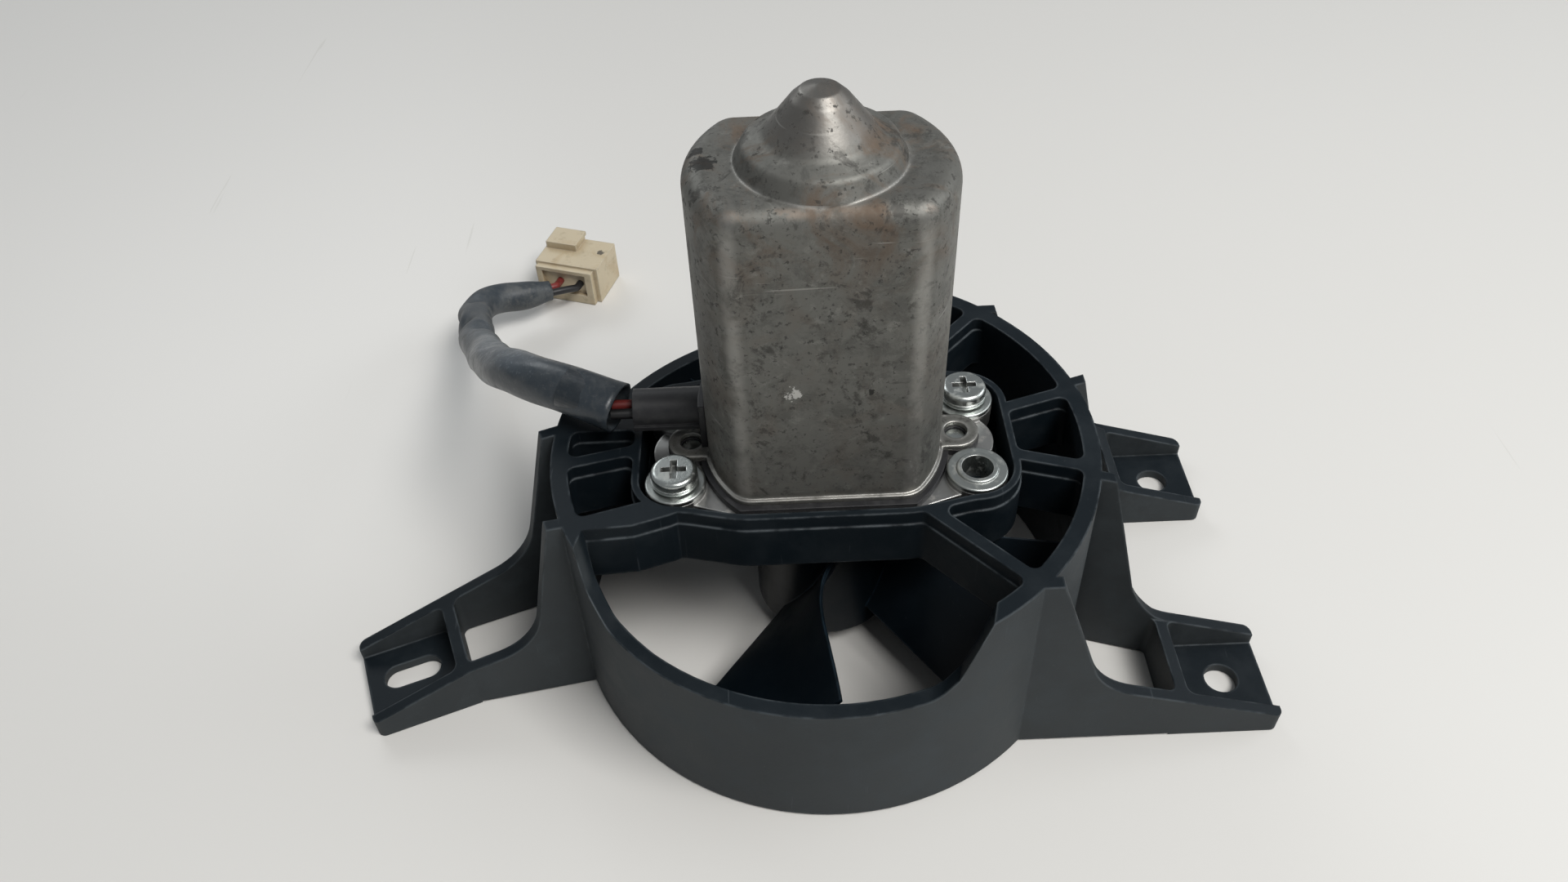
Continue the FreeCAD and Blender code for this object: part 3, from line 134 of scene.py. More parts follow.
class Shade:
    """A material under construction, round one principled shader."""

    def __init__(self, name):
        self.material = bpy.data.materials.new(name)
        self.material.use_nodes = True
        self.tree = self.material.node_tree
        self.tree.nodes.clear()
        self.output = self.tree.nodes.new("ShaderNodeOutputMaterial")
        self.shader = self.tree.nodes.new("ShaderNodeBsdfPrincipled")
        self.tree.links.new(self.shader.outputs["BSDF"], self.output.inputs["Surface"])
        self.place = self.node("ShaderNodeTexCoord", output="Object")

    def node(self, kind, settings=None, inputs=None, output=0):
        made = self.tree.nodes.new(kind)
        for name, value in (settings or {}).items():
            setattr(made, name, value)
        for name, value in (inputs or {}).items():
            self.feed(made.inputs[name], value)
        return Value(self, made.outputs[output])

    def feed(self, socket, value):
        if isinstance(value, Value):
            self.tree.links.new(value.socket, socket)
        elif socket.type == "RGBA" and len(value) == 3:
            socket.default_value = (*value, 1.0)
        else:
            socket.default_value = value

    def set(self, **values):
        for name, value in values.items():
            self.feed(self.shader.inputs[name.replace("_", " ").title()], value)
        return self

    def stretched(self, scale, turn=(0, 0, 0)):
        return self.node("ShaderNodeMapping", None, {"Vector": self.place, "Scale": scale, "Rotation": turn})

    def noise(self, scale, detail=4.0, roughness=0.55, distortion=0.0, place=None):
        inputs = {"Vector": place or self.place, "Scale": scale, "Detail": detail}
        inputs.update({"Roughness": roughness, "Distortion": distortion})
        return self.node("ShaderNodeTexNoise", None, inputs, "Fac")

    def cells(self, scale, place=None):
        inputs = {"Vector": place or self.place, "Scale": scale}
        return self.node("ShaderNodeTexVoronoi", None, inputs, "Distance")

    def between(self, value, low, high):
        """0 below low, 1 above high, and smooth between."""
        settings = {"interpolation_type": "SMOOTHSTEP"}
        return self.node("ShaderNodeMapRange", settings, {"Value": value, "From Min": low, "From Max": high})

    def mix(self, share, first, second, blend="MIX"):
        made = self.tree.nodes.new("ShaderNodeMix")
        made.data_type = "RGBA"
        made.blend_type = blend
        self.feed(made.inputs["Factor"], share)
        self.feed(made.inputs[6], first)
        self.feed(made.inputs[7], second)
        return Value(self, made.outputs[2])

    def part(self, axis):
        """One of the three coordinates of the place."""
        return self.node("ShaderNodeSeparateXYZ", None, {"Vector": self.place}, "XYZ".index(axis))

    def reach(self):
        """How far the place lies from the fan's axis."""
        return (self.part("X") * self.part("X") + self.part("Y") * self.part("Y")) ** 0.5

    def edges(self, radius, samples=6):
        """1 on sharp edges, 0 on open faces."""
        soft = self.node("ShaderNodeBevel", {"samples": samples}, {"Radius": radius}, "Normal")
        hard = self.node("ShaderNodeNewGeometry", output="Normal")
        turn = self.node("ShaderNodeVectorMath", {"operation": "DOT_PRODUCT"}, {0: soft, 1: hard}, "Value")
        return self.between(turn, 0.995, 0.86)

    def hollows(self, reach, samples=6):
        """1 deep in recesses and corners, where shade falls, 0 on open faces."""
        settings = {"samples": samples, "only_local": True}
        light = self.node("ShaderNodeAmbientOcclusion", settings, {"Distance": reach}, "AO")
        return self.between(light, 0.72, 0.30)

    def spot(self, centre, radius, ragged=0.6):
        """1 within a ragged patch round a point."""
        settings = {"operation": "DISTANCE"}
        gap = self.node("ShaderNodeVectorMath", settings, {0: self.place, 1: centre}, "Value")
        fray = (self.noise(700.0, 4.0, 0.7) - 0.5) * (radius * ragged * 2)
        return self.between(gap + fray, radius, radius * 0.7)

    def bump(self, height, strength, distance, normal=None):
        inputs = {"Height": height, "Strength": strength, "Distance": distance}
        if normal:
            inputs["Normal"] = normal
        return self.node("ShaderNodeBump", None, inputs, "Normal")

    def rounded_normal(self, radius, samples=6):
        return self.node("ShaderNodeBevel", {"samples": samples}, {"Radius": radius}, "Normal")


def moulded_plastic(name, colour, wall_sheen_colour, worn_colour, gloss):
    """Black nylon: dark and satin on top, greyer on its outer upright walls with a painted sheen, pale at
    worn edges.
    """
    shade = Shade(name)
    facing = shade.node("ShaderNodeNewGeometry", output="Normal")
    upright = abs(shade.node("ShaderNodeSeparateXYZ", None, {"Vector": facing}, "Z"))
    cloud = shade.noise(28.0, 5.0, 0.6)
    blotch = shade.between(shade.noise(90.0, 6.0, 0.65), 0.42, 0.72)
    # Mask for a painted sheen: the ring's outer upright walls drawn lighter, for the pale floor reflected in
    # them
    wall = shade.between(upright, 0.80, 0.10)
    wall = wall * shade.between(shade.reach(), RING_INSIDE, RING_OUTSIDE)
    hollow_shade = shade.hollows(0.006)
    rubbed = shade.edges(0.0010) * shade.between(shade.noise(160.0, 4.0), 0.36, 0.60)
    scratch_place = shade.stretched((900.0, 60.0, 60.0), (0.2, 0.1, 0.5))
    scratches = shade.between(shade.noise(1.0, 2.0, 0.5, 0.4, scratch_place), 0.70, 0.78)
    specks = shade.between(shade.noise(700.0, 4.0, 0.7), 0.66, 0.74)
    base = shade.mix(cloud, colour, [channel * 0.65 for channel in colour])
    # Painted sheen: outer walls mixed towards the lighter wall sheen colour
    base = shade.mix(wall * (0.55 + cloud * 0.6), base, wall_sheen_colour)
    # Blotches of the worn colour everywhere, stronger on the outer walls as part of the painted sheen
    base = shade.mix(blotch * (0.05 + wall * 0.15), base, worn_colour)
    base = shade.mix(specks * 0.16, base, (0.10, 0.11, 0.11))
    base = shade.mix(scratches * 0.20, base, worn_colour)
    # Painted shade: recesses and corners darkened towards black
    base = shade.mix(hollow_shade * 0.5, base, (0.004, 0.005, 0.006))
    base = shade.mix(rubbed * 0.60, base, worn_colour)
    grain = shade.noise(1500.0, 3.0, 0.6)
    normal = shade.bump(grain, 0.12, 0.0002, shade.rounded_normal(0.0006))
    normal = shade.bump(shade.noise(38.0, 3.0, 0.5), 0.10, 0.0012, normal)
    shade.set(base_color=base, roughness=gloss + blotch * 0.14 + wall * 0.10 + grain * 0.06, normal=normal)
    shade.shader.inputs["Specular IOR Level"].default_value = 0.20
    return shade.material


def can_corner_highlights(shade):
    """1 along the can's four upright corners, where highlight bands are painted."""
    across = abs(shade.part("X")) - CAN_CORNER
    over = abs(shade.part("Y")) - CAN_CORNER
    return shade.between((across * across + over * over) ** 0.5, 0.0026, 0.0004)


def can_rim(shade):
    """1 in patches where the top of the flat sides is rubbed to copper brown."""
    over = abs(shade.part("Y")) - CAN_RIM[0]
    rise = shade.part("Z") - CAN_RIM[1]
    line = shade.between((over * over + rise * rise) ** 0.5, 0.0018, 0.0003)
    return line * shade.between(shade.noise(150.0, 7.0, 0.75), 0.44, 0.58)


def drawn_steel(colour):
    """The can: dull plated sheet, specked and smeared with brown, with a painted highlight in broken patches
    along its edges and upright corners.
    """
    shade = Shade("can steel")
    height = shade.part("Z")
    cloud = shade.noise(26.0, 6.0, 0.62, 0.3)
    smear = shade.noise(1.0, 5.0, 0.6, 0.6, shade.stretched((60.0, 60.0, 22.0)))
    specks = shade.between(shade.noise(620.0, 3.0, 0.7), 0.58, 0.67)
    pits = shade.between(shade.noise(230.0, 5.0, 0.72), 0.57, 0.66)
    blots = shade.between(shade.noise(88.0, 7.0, 0.74, 0.5), 0.58, 0.64)
    stain = shade.between(shade.noise(62.0, 6.0, 0.66, 0.8), 0.46, 0.66)
    mottle = shade.between(shade.noise(165.0, 8.0, 0.78, 0.3), 0.46, 0.62)
    frost = shade.between(shade.noise(210.0, 8.0, 0.78, 0.6), 0.54, 0.68)
    upper = shade.between(height, CAN_TOP - 0.036, CAN_TOP - 0.016)
    cone = shade.between(height, CAN_TOP - 0.0105, CAN_TOP - 0.0070)
    brown = stain * (0.20 + upper * 0.60 - cone * 0.40)
    hollow_shade = shade.hollows(0.005)
    # Patches of noise that break up the painted highlight on edges and corners
    rubbed = shade.between(shade.noise(120.0, 5.0), 0.30, 0.56)
    bright = (shade.edges(0.0024, 8).larger(can_corner_highlights(shade) * 0.50)) * rubbed
    across = shade.stretched((40.0, 40.0, 1100.0), (0.5, 0.15, 0.3))
    scratches = shade.between(shade.noise(1.0, 2.0, 0.5, 0.5, across), 0.70, 0.76)
    fall = shade.stretched((1200.0, 1200.0, 24.0), (0.06, 0.03, 0.0))
    drips = shade.between(shade.noise(1.0, 3.0, 0.5, 0.0, fall), 0.66, 0.78)
    base = shade.mix(cloud, [channel * 0.80 for channel in colour], [channel * 1.22 for channel in colour])
    base = shade.mix(smear * 0.30, base, [channel * 0.70 for channel in colour])
    base = shade.mix(mottle * 0.50, base, [channel * 0.42 for channel in colour])
    base = shade.mix(frost * 0.42, base, [channel * 1.85 for channel in colour])
    base = shade.mix(can_rim(shade) * 0.38, base, (0.27, 0.20, 0.15))
    base = shade.mix(cone * 0.75, base, (0.21, 0.200, 0.185))
    base = shade.mix(brown, base, (0.125, 0.082, 0.052))
    base = shade.mix(pits * 0.50, base, (0.050, 0.047, 0.042))
    base = shade.mix(blots * 0.62, base, (0.040, 0.038, 0.035))
    base = shade.mix(specks * 0.66, base, (0.026, 0.025, 0.023))
    base = shade.mix(drips * 0.12, base, (0.06, 0.058, 0.055))
    # Painted shade: recesses and corners of the can darkened, with a brownish tint
    base = shade.mix(hollow_shade * 0.55, base, (0.035, 0.030, 0.026))
    base = shade.mix(scratches * 0.40, base, (0.46, 0.45, 0.42))
    # Painted highlight on the can's edges and upright corners
    base = shade.mix(bright * 0.70, base, (0.50, 0.49, 0.46))
    for centre, radius in CAN_MARKS:
        base = shade.mix(shade.spot(centre, radius, 1.3) * 0.80, base, (0.012, 0.012, 0.012))
    base = shade.mix(shade.spot(CAN_SCUFF, 0.0015, 2.6) * 0.75, base, (0.72, 0.71, 0.68))
    dents = shade.spot(CAN_DIMPLES[0], 0.0013, 0.1).larger(shade.spot(CAN_DIMPLES[1], 0.0013, 0.1))
    rough = 0.50 + cloud * 0.12 + specks * 0.2 + brown * 0.22 - bright * 0.16 - cone * 0.14
    normal = shade.bump(shade.noise(900.0, 3.0, 0.6), 0.12, 0.0002, shade.rounded_normal(0.0008, 8))
    normal = shade.bump(specks + pits * 0.5 + blots * 0.3, -0.30, 0.0002, normal)
    normal = shade.bump(shade.noise(48.0, 2.0, 0.4), 0.14, 0.0012, normal)
    normal = shade.bump(dents, -0.9, 0.0008, normal)
    metal = 0.72 - brown * 0.4 - specks * 0.3 + bright * 0.2 + cone * 0.15
    shade.set(base_color=base, roughness=rough, metallic=metal, normal=normal)
    return shade.material


def plated_metal(name, colour, stained, gloss, edge=0.0005):
    """Bright zinc-plated or cast metal with patches of grime, painted shade in its hollows and lighter sharp
    edges.
    """
    shade = Shade(name)
    cloud = shade.noise(140.0, 5.0, 0.6)
    grime = shade.between(shade.noise(320.0, 5.0, 0.7), 0.52, 0.72)
    hollow_shade = shade.hollows(0.0025)
    bright = shade.edges(edge)
    base = shade.mix(cloud, colour, [channel * 0.74 for channel in colour])
    base = shade.mix(grime * stained, base, (0.14, 0.125, 0.095))
    # Painted shade: recesses and corners darkened, and made less metallic and rougher below
    base = shade.mix(hollow_shade * 0.85, base, (0.022, 0.021, 0.018))
    base = shade.mix(bright * 0.5, base, (0.80, 0.80, 0.78))
    grain = shade.noise(1300.0, 3.0, 0.6)
    normal = shade.bump(grain, 0.14, 0.0002, shade.rounded_normal(edge * 0.6))
    metal = 1.0 - grime * 0.45 - hollow_shade * 0.5
    rough = gloss + cloud * 0.12 + grime * 0.25 + hollow_shade * 0.3
    shade.set(base_color=base, roughness=rough, metallic=metal, normal=normal)
    return shade.material


def plain_rubber(name, colour, dust_share):
    """Black rubber or soft tube with patches of dull dust."""
    shade = Shade(name)
    cloud = shade.noise(120.0, 5.0, 0.65)
    dust = shade.between(shade.noise(260.0, 6.0, 0.7), 0.45, 0.75)
    base = shade.mix(cloud, colour, [channel * 0.7 for channel in colour])
    base = shade.mix(dust * dust_share, base, (0.12, 0.12, 0.115))
    grain = shade.noise(1600.0, 3.0)
    normal = shade.bump(grain, 0.12, 0.0002, shade.rounded_normal(0.0004))
    shade.set(base_color=base, roughness=0.42 + dust * 0.3, normal=normal)
    return shade.material


def sleeve_tube_finish(colour):
    """Soft dark PVC: glossy by the motor, dusty grey and scuffed past the bend, with a specked painted
    highlight along its upper side before the bend.
    """
    shade = Shade("sleeve PVC")
    along = shade.node("ShaderNodeUVMap", {"uv_map": "run"})
    run = shade.node("ShaderNodeSeparateXYZ", None, {"Vector": along}, "X")
    far = shade.between(run, 0.35, 0.72)
    cloud = shade.noise(60.0, 5.0, 0.6)
    dust = shade.between(shade.noise(150.0, 6.0, 0.72), 0.42, 0.68)
    specks = shade.between(shade.noise(900.0, 4.0, 0.7), 0.56, 0.66)
    scuff_place = shade.stretched((420.0, 160.0, 160.0), (0.0, 0.3, 1.0))
    scuffs = shade.between(shade.noise(1.0, 4.0, 0.6, 0.8, scuff_place), 0.58, 0.72)
    grey = (0.115, 0.118, 0.115)
    base = shade.mix(cloud, colour, [channel * 0.55 for channel in colour])
    base = shade.mix(dust * (0.18 + far * 0.40), base, grey)
    base = shade.mix(scuffs * (0.10 + far * 0.30), base, (0.17, 0.160, 0.140))
    base = shade.mix(specks * 0.25, base, grey)
    facing = shade.node("ShaderNodeNewGeometry", output="Normal")
    up = shade.node("ShaderNodeSeparateXYZ", None, {"Vector": facing}, "Z")
    # Painted highlight: a bluish, specked band on the upward-facing side, fading out towards the far end
    top_highlight = shade.between(up, 0.45, 0.95) * shade.between(run, 0.08, 0.20) * (1 - far)
    base = shade.mix(top_highlight * (0.25 + specks * 0.55), base, (0.17, 0.205, 0.24))
    normal = shade.bump(shade.noise(210.0, 4.0, 0.6, 0.4), 0.26, 0.0005)
    normal = shade.bump(shade.noise(900.0, 3.0), 0.16, 0.0002, normal)
    shade.set(base_color=base, roughness=0.30 + far * 0.16 + dust * 0.18 + scuffs * 0.1, normal=normal)
    return shade.material


def insulation(name, colour):
    shade = Shade(name)
    cloud = shade.noise(300.0, 4.0)
    base = shade.mix(cloud, colour, [channel * 0.6 for channel in colour])
    normal = shade.bump(shade.noise(900.0, 3.0), 0.15, 0.0002)
    shade.set(base_color=base, roughness=0.38 + cloud * 0.15, normal=normal)
    return shade.material


def aged_nylon(colour):
    """The connector: off-white nylon, yellowed, with painted shade in brown round its mouth and in its
    hollows.
    """
    shade = Shade("connector nylon")
    cloud = shade.noise(70.0, 5.0, 0.6)
    dirt = shade.between(shade.noise(260.0, 6.0, 0.7), 0.52, 0.72)
    brown = shade.between(shade.noise(95.0, 4.0, 0.6, 0.6), 0.52, 0.70)
    hollow_shade = shade.hollows(0.004)
    rubbed = shade.edges(0.0008)
    base = shade.mix(cloud, colour, [channel * 0.84 for channel in colour])
    base = shade.mix(brown * 0.30, base, (0.33, 0.21, 0.08))
    # Painted shade, tinted brown, in the connector's mouth and hollows
    base = shade.mix(hollow_shade * 0.75, base, (0.20, 0.105, 0.030))
    base = shade.mix(dirt * 0.30, base, (0.14, 0.12, 0.085))
    base = shade.mix(rubbed * 0.3, base, (0.60, 0.57, 0.48))
    base = shade.mix(shade.spot(CONNECTOR_SPOT, 0.0016, 1.0) * 0.85, base, (0.03, 0.026, 0.02))
    normal = shade.bump(shade.noise(700.0, 3.0), 0.1, 0.0002, shade.rounded_normal(0.0004))
    shade.set(base_color=base, roughness=0.42 + dirt * 0.25, normal=normal)
    shade.shader.inputs["Subsurface Weight"].default_value = 0.05
    shade.shader.inputs["Subsurface Radius"].default_value = (0.002, 0.0015, 0.001)
    return shade.material


def machined(name, colour, rough, metallic=1.0, scale=400.0):
    """Turned, pressed or sintered metal that lies inside the motor."""
    shade = Shade(name)
    rings = shade.noise(1.0, 3.0, 0.6, 0.0, shade.stretched((scale * 0.2, scale * 0.2, scale * 3)))
    cloud = shade.noise(scale * 0.5, 4.0)
    base = shade.mix(cloud, colour, [channel * 0.7 for channel in colour])
    normal = shade.bump(rings, 0.15, 0.0002)
    shade.set(base_color=base, roughness=rough + cloud * 0.15, metallic=metallic, normal=normal)
    return shade.material


def wound_copper(colour):
    """Enamelled wire lying in turns."""
    shade = Shade("wound copper")
    turns = shade.noise(1.0, 2.0, 0.4, 0.5, shade.stretched((2200.0, 2200.0, 500.0), (0.4, 0.3, 0.0)))
    base = shade.mix(turns, colour, [channel * 0.35 for channel in colour])
    normal = shade.bump(turns, 0.6, 0.0004)
    shade.set(base_color=base, roughness=0.32 + turns * 0.2, metallic=0.85, normal=normal)
    return shade.material


def laminate_floor(colour):
    """The pale board under the fan: faint clouds, hair scratches and a soft gloss."""
    shade = Shade("pale board")
    cloud = shade.noise(2.2, 3.0, 0.5)
    scratch_place = shade.stretched((260.0, 9.0, 1.0), (0.0, 0.0, -0.9))
    scratches = shade.between(shade.noise(1.0, 2.0, 0.5, 0.3, scratch_place), 0.745, 0.775)
    base = shade.mix(cloud * 0.6, colour, [channel * 0.93 for channel in colour])
    base = shade.mix(scratches * 0.22, base, (0.42, 0.41, 0.36))
    shade.set(base_color=base, roughness=0.34 + cloud * 0.08)
    shade.shader.inputs["Specular IOR Level"].default_value = 0.35
    return shade.material


def finish(material, *names):
    """Give CAD nodes their finish."""
    for name in names:
        node = NODES[name]
        node.data.materials.clear()
        node.data.materials.append(material)


def solid_piece(name, mesh, material, body, slot, *replaced):
    piece = bpy.data.objects.new(name, mesh)
    bpy.context.scene.collection.objects.link(piece)
    mesh.materials.clear()
    mesh.materials.append(material)
    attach(piece, body)
    if replaced:
        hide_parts(*replaced)
    return piece


# Settings


class RadiatorFanColours(bpy.types.PropertyGroup):
    shroud: bpy.props.FloatVectorProperty(
        name="Shroud", description="Colour of the moulded shroud", subtype="COLOR",
        default=(0.0060, 0.0105, 0.0145))
    # Colour of the painted sheen on the shroud's outer walls, lighter than the tops
    shroud_wall_sheen: bpy.props.FloatVectorProperty(
        name="Shroud walls", description="Colour of its sheened upright walls", subtype="COLOR",
        default=(0.038, 0.044, 0.047))
    shroud_worn: bpy.props.FloatVectorProperty(
        name="Worn shroud", description="Colour of its rubbed edges", subtype="COLOR",
        default=(0.090, 0.105, 0.115))
    impeller: bpy.props.FloatVectorProperty(
        name="Impeller", description="Colour of the blades", subtype="COLOR",
        default=(0.0035, 0.0070, 0.0105))
    can: bpy.props.FloatVectorProperty(
        name="Can", description="Colour of the motor's can", subtype="COLOR", default=(0.170, 0.169, 0.155))
    plating: bpy.props.FloatVectorProperty(
        name="Plating", description="Colour of the screws, bushes and washers", subtype="COLOR",
        default=(0.56, 0.59, 0.57))
    sleeve: bpy.props.FloatVectorProperty(
        name="Sleeve", description="Colour of the lead's sleeve", subtype="COLOR",
        default=(0.036, 0.047, 0.058))
    connector: bpy.props.FloatVectorProperty(
        name="Connector", description="Colour of the connector", subtype="COLOR", default=(0.54, 0.46, 0.32))
    board: bpy.props.FloatVectorProperty(
        name="Board", description="Colour of the board under the fan", subtype="COLOR",
        default=(0.69, 0.68, 0.655))


class RadiatorFanSizes(bpy.types.PropertyGroup):
    sleeve_width: bpy.props.FloatProperty(
        name="Sleeve width", description="Outside diameter of the lead's sleeve", unit="LENGTH",
        default=0.0118)
    sleeve_wall: bpy.props.FloatProperty(
        name="Sleeve wall", description="Thickness of the sleeve's wall", unit="LENGTH", default=0.0007)
    lens: bpy.props.FloatProperty(
        name="Lens", description="Focal length of the camera, in millimetres", default=26.848)
    pitch: bpy.props.FloatProperty(
        name="Pitch", description="How far the camera looks down", subtype="ANGLE",
        default=math.radians(44.536))
    roll: bpy.props.FloatProperty(
        name="Roll", description="How far the camera leans", subtype="ANGLE", default=math.radians(-2.449))
    camera_place: bpy.props.FloatVectorProperty(
        name="Camera place", description="Where the camera stands", unit="LENGTH",
        default=(-0.009443, -0.199254, 0.255333))


def colours():
    return bpy.context.scene.radiator_fan_colours


def sizes():
    return bpy.context.scene.radiator_fan_sizes


# Stage


class RADIATOR_FAN_OT_stage(bpy.types.Operator):
    """Lay the board, hang the lamps and set the camera"""

    bl_idname = "radiator_fan.stage"
    bl_label = "Stage"

    board_side = 6.0
    board_place = (0, 0.6, -0.0002)
    sky_colour = (0.92, 0.96, 1.0, 1.0)
    sky_strength = 0.24
    # Lamps: name, place, height aimed at, size, watts, tint
    lamps = (
        ("ceiling lamp", (0.55, -0.50, 1.25), 0.05, (0.75, 0.55), 18.5, (1.0, 0.985, 0.965)),
        ("window", (1.3, 0.25, 0.8), 0.06, (0.9, 0.6), 5.0, (0.93, 0.97, 1.0)),
        ("back window", (-0.7, 1.1, 0.9), 0.06, (0.8, 0.5), 4.0, (0.95, 0.98, 1.0)),
    )

    def execute(self, context):
        self.lay_board()
        self.hang_lamps()
        self.set_camera(context)
        context.scene.view_settings.view_transform = "Standard"
        return {"FINISHED"}

    def lay_board(self):
        bpy.ops.mesh.primitive_grid_add(
            x_subdivisions=8, y_subdivisions=8, size=self.board_side, location=self.board_place)
        board = bpy.context.object
        board.name = "board"
        board.data.materials.append(laminate_floor(colours().board))

    def hang_lamps(self):
        world = bpy.data.worlds.new("room")
        world.use_nodes = True
        background = world.node_tree.nodes["Background"]
        background.inputs["Color"].default_value = self.sky_colour
        background.inputs["Strength"].default_value = self.sky_strength
        bpy.context.scene.world = world
        for lamp in self.lamps:
            self.lamp(*lamp)

    def lamp(self, name, place, aim_height, span, power, tint):
        data = bpy.data.lights.new(name, "AREA")
        data.shape = "RECTANGLE"
        data.size, data.size_y = span
        data.energy = power
        data.color = tint
        lamp = bpy.data.objects.new(name, data)
        lamp.location = place
        lamp.rotation_euler = (Vector((0, 0, aim_height)) - Vector(place)).to_track_quat("-Z", "Y").to_euler()
        bpy.context.scene.collection.objects.link(lamp)

    def set_camera(self, context):
        data = bpy.data.cameras.new("camera")
        data.lens = sizes().lens
        data.sensor_width = 36.0
        data.clip_start = 0.01
        camera = bpy.data.objects.new("camera", data)
        look = Matrix.Rotation(math.pi / 2 - sizes().pitch, 4, "X") @ Matrix.Rotation(sizes().roll, 4, "Z")
        camera.matrix_world = Matrix.Translation(sizes().camera_place) @ look
        context.scene.collection.objects.link(camera)
        context.scene.camera = camera


# Pieces


class RADIATOR_FAN_OT_sleeve(bpy.types.Operator):
    """Draw the lead's creased sleeve along its route"""

    bl_idname = "radiator_fan.sleeve"
    bl_label = "Sleeve"

    around = 40
    # Folds: how far along, how long, how deep, and which way round they press
    creases = (
        (0.022, 0.010, 0.10, 0.4),
        (0.052, 0.012, 0.15, 1.9),
        (0.078, 0.007, 0.24, 0.9),
        (0.098, 0.0042, 0.42, 2.4),
        (0.111, 0.0036, 0.46, 1.2),
        (0.123, 0.0040, 0.42, 0.3),
        (0.136, 0.0044, 0.36, 2.0),
    )
    far_width = 0.86
    mouth_flare = 0.07
    mouth_reach = 0.006
    mouth_depth = 0.014
    end_squeeze = 0.30
    end_roll = 0.0055
    end_depth = 0.010
    rings_inside = 2

    def execute(self, context):
        points = self.follow_route()
        mesh = self.skin(points)
        material = sleeve_tube_finish(colours().sleeve)
        piece = solid_piece("sleeve", mesh, material, HOUSING, "sleeve_pvc", "cable_sleeve")
        return {"FINISHED"}

    def follow_route(self):
        """Points along the smooth curve that the route's points control."""
        data = bpy.data.curves.new("sleeve route", "CURVE")
        data.dimensions = "3D"
        data.resolution_u = 14
        spline = data.splines.new("NURBS")
        spline.points.add(len(SLEEVE_ROUTE) - 1)
        for point, place in zip(spline.points, SLEEVE_ROUTE):
            point.co = (*place, 1.0)
        spline.order_u = 3
        spline.use_endpoint_u = True
        route = bpy.data.objects.new("sleeve route", data)
        bpy.context.scene.collection.objects.link(route)
        line = bpy.data.meshes.new_from_object(route)
        points = [vertex.co.copy() for vertex in line.vertices]
        bpy.data.objects.remove(route)
        bpy.data.meshes.remove(line)
        return points

    def skin(self, points):
        """A tube with soft creases, rolled in at both ends."""
        radius = sizes().sleeve_width / 2
        wall = sizes().sleeve_wall
        run = [0.0]
        for a, b in zip(points, points[1:]):
            run.append(run[-1] + (b - a).length)
        self.length = run[-1]
        side = None
        rings = []
        for number, point in enumerate(points):
            ahead = points[min(number + 1, len(points) - 1)]
            behind = points[max(number - 1, 0)]
            heading = (ahead - behind).normalized()
            side = self.carry(side, heading)
            rings.append((point, heading, side, run[number]))
        first, last = rings[0], rings[-1]
        mesh = bmesh.new()
        loops = [self.ring(mesh, first, radius - wall, self.mouth_depth)]
        loops += [self.ring(mesh, first, radius - wall, 0.0)]
        loops += [self.ring(mesh, ring, radius, 0.0) for ring in rings]
        loops += [self.ring(mesh, last, radius - wall, 0.0)]
        loops += [self.ring(mesh, last, radius - wall, -self.end_depth)]
        for near, far in zip(loops, loops[1:]):
            for i in range(self.around):
                j = (i + 1) % self.around
                mesh.faces.new((near[i], near[j], far[j], far[i]))
        mesh.faces.new(list(reversed(loops[0])))
        mesh.faces.new(loops[-1])
        bmesh.ops.recalc_face_normals(mesh, faces=mesh.faces)
        made = bpy.data.meshes.new("sleeve")
        mesh.to_mesh(made)
        mesh.free()
        for face in made.polygons:
            face.use_smooth = True
        self.mark_run(made, run)
        return made

    def mark_run(self, made, run):
        """A map whose first number runs from 0 at the motor to 1 at the connector."""
        marks = made.uv_layers.new(name="run")
        for loop in made.loops:
            ring = min(max(loop.vertex_index // self.around - self.rings_inside, 0), len(run) - 1)
            turn = loop.vertex_index % self.around / self.around
            marks.data[loop.index].uv = (run[ring] / run[-1], turn)

    def carry(self, side, heading):
        if side is None:
            side = Vector((0, 0, 1)).cross(heading)
        return (side - heading * side.dot(heading)).normalized()

    def ring(self, mesh, place, radius, shift):
        point, heading, side, run = place
        up = heading.cross(side)
        radius *= 1 - (1 - self.far_width) * run / self.length
        radius *= 1 + self.mouth_flare * math.exp(-run / self.mouth_reach)
        radius *= 1 - self.end_squeeze * math.exp(-((self.length - run) / self.end_roll) ** 2)
        corners = []
        for step in range(self.around):
            turn = 2 * math.pi * step / self.around
            ripple = 0.022 * math.sin(3 * turn + run * 190) + 0.012 * math.sin(5 * turn - run * 310)
            across = math.cos(turn) * radius * (1.02 + ripple)
            over = math.sin(turn) * radius * (0.96 + ripple)
            for centre, reach, depth, way in self.creases:
                press = math.exp(-((run - centre) / reach) ** 2)
                dent = depth * press * max(math.cos(turn - way), 0.0) ** 3
                across *= 1 - dent + depth * press * 0.08
                over *= 1 - dent + depth * press * 0.08
            corners.append(mesh.verts.new(point + heading * shift + side * across + up * over))
        return corners


class RADIATOR_FAN_OT_shroud(bpy.types.Operator):
    """Finish the moulded shroud"""

    bl_idname = "radiator_fan.shroud"
    bl_label = "Shroud"

    def execute(self, context):
        shades = (colours().shroud, colours().shroud_wall_sheen, colours().shroud_worn)
        finish(moulded_plastic("shroud nylon", *shades, 0.46), "shroud")
        return {"FINISHED"}


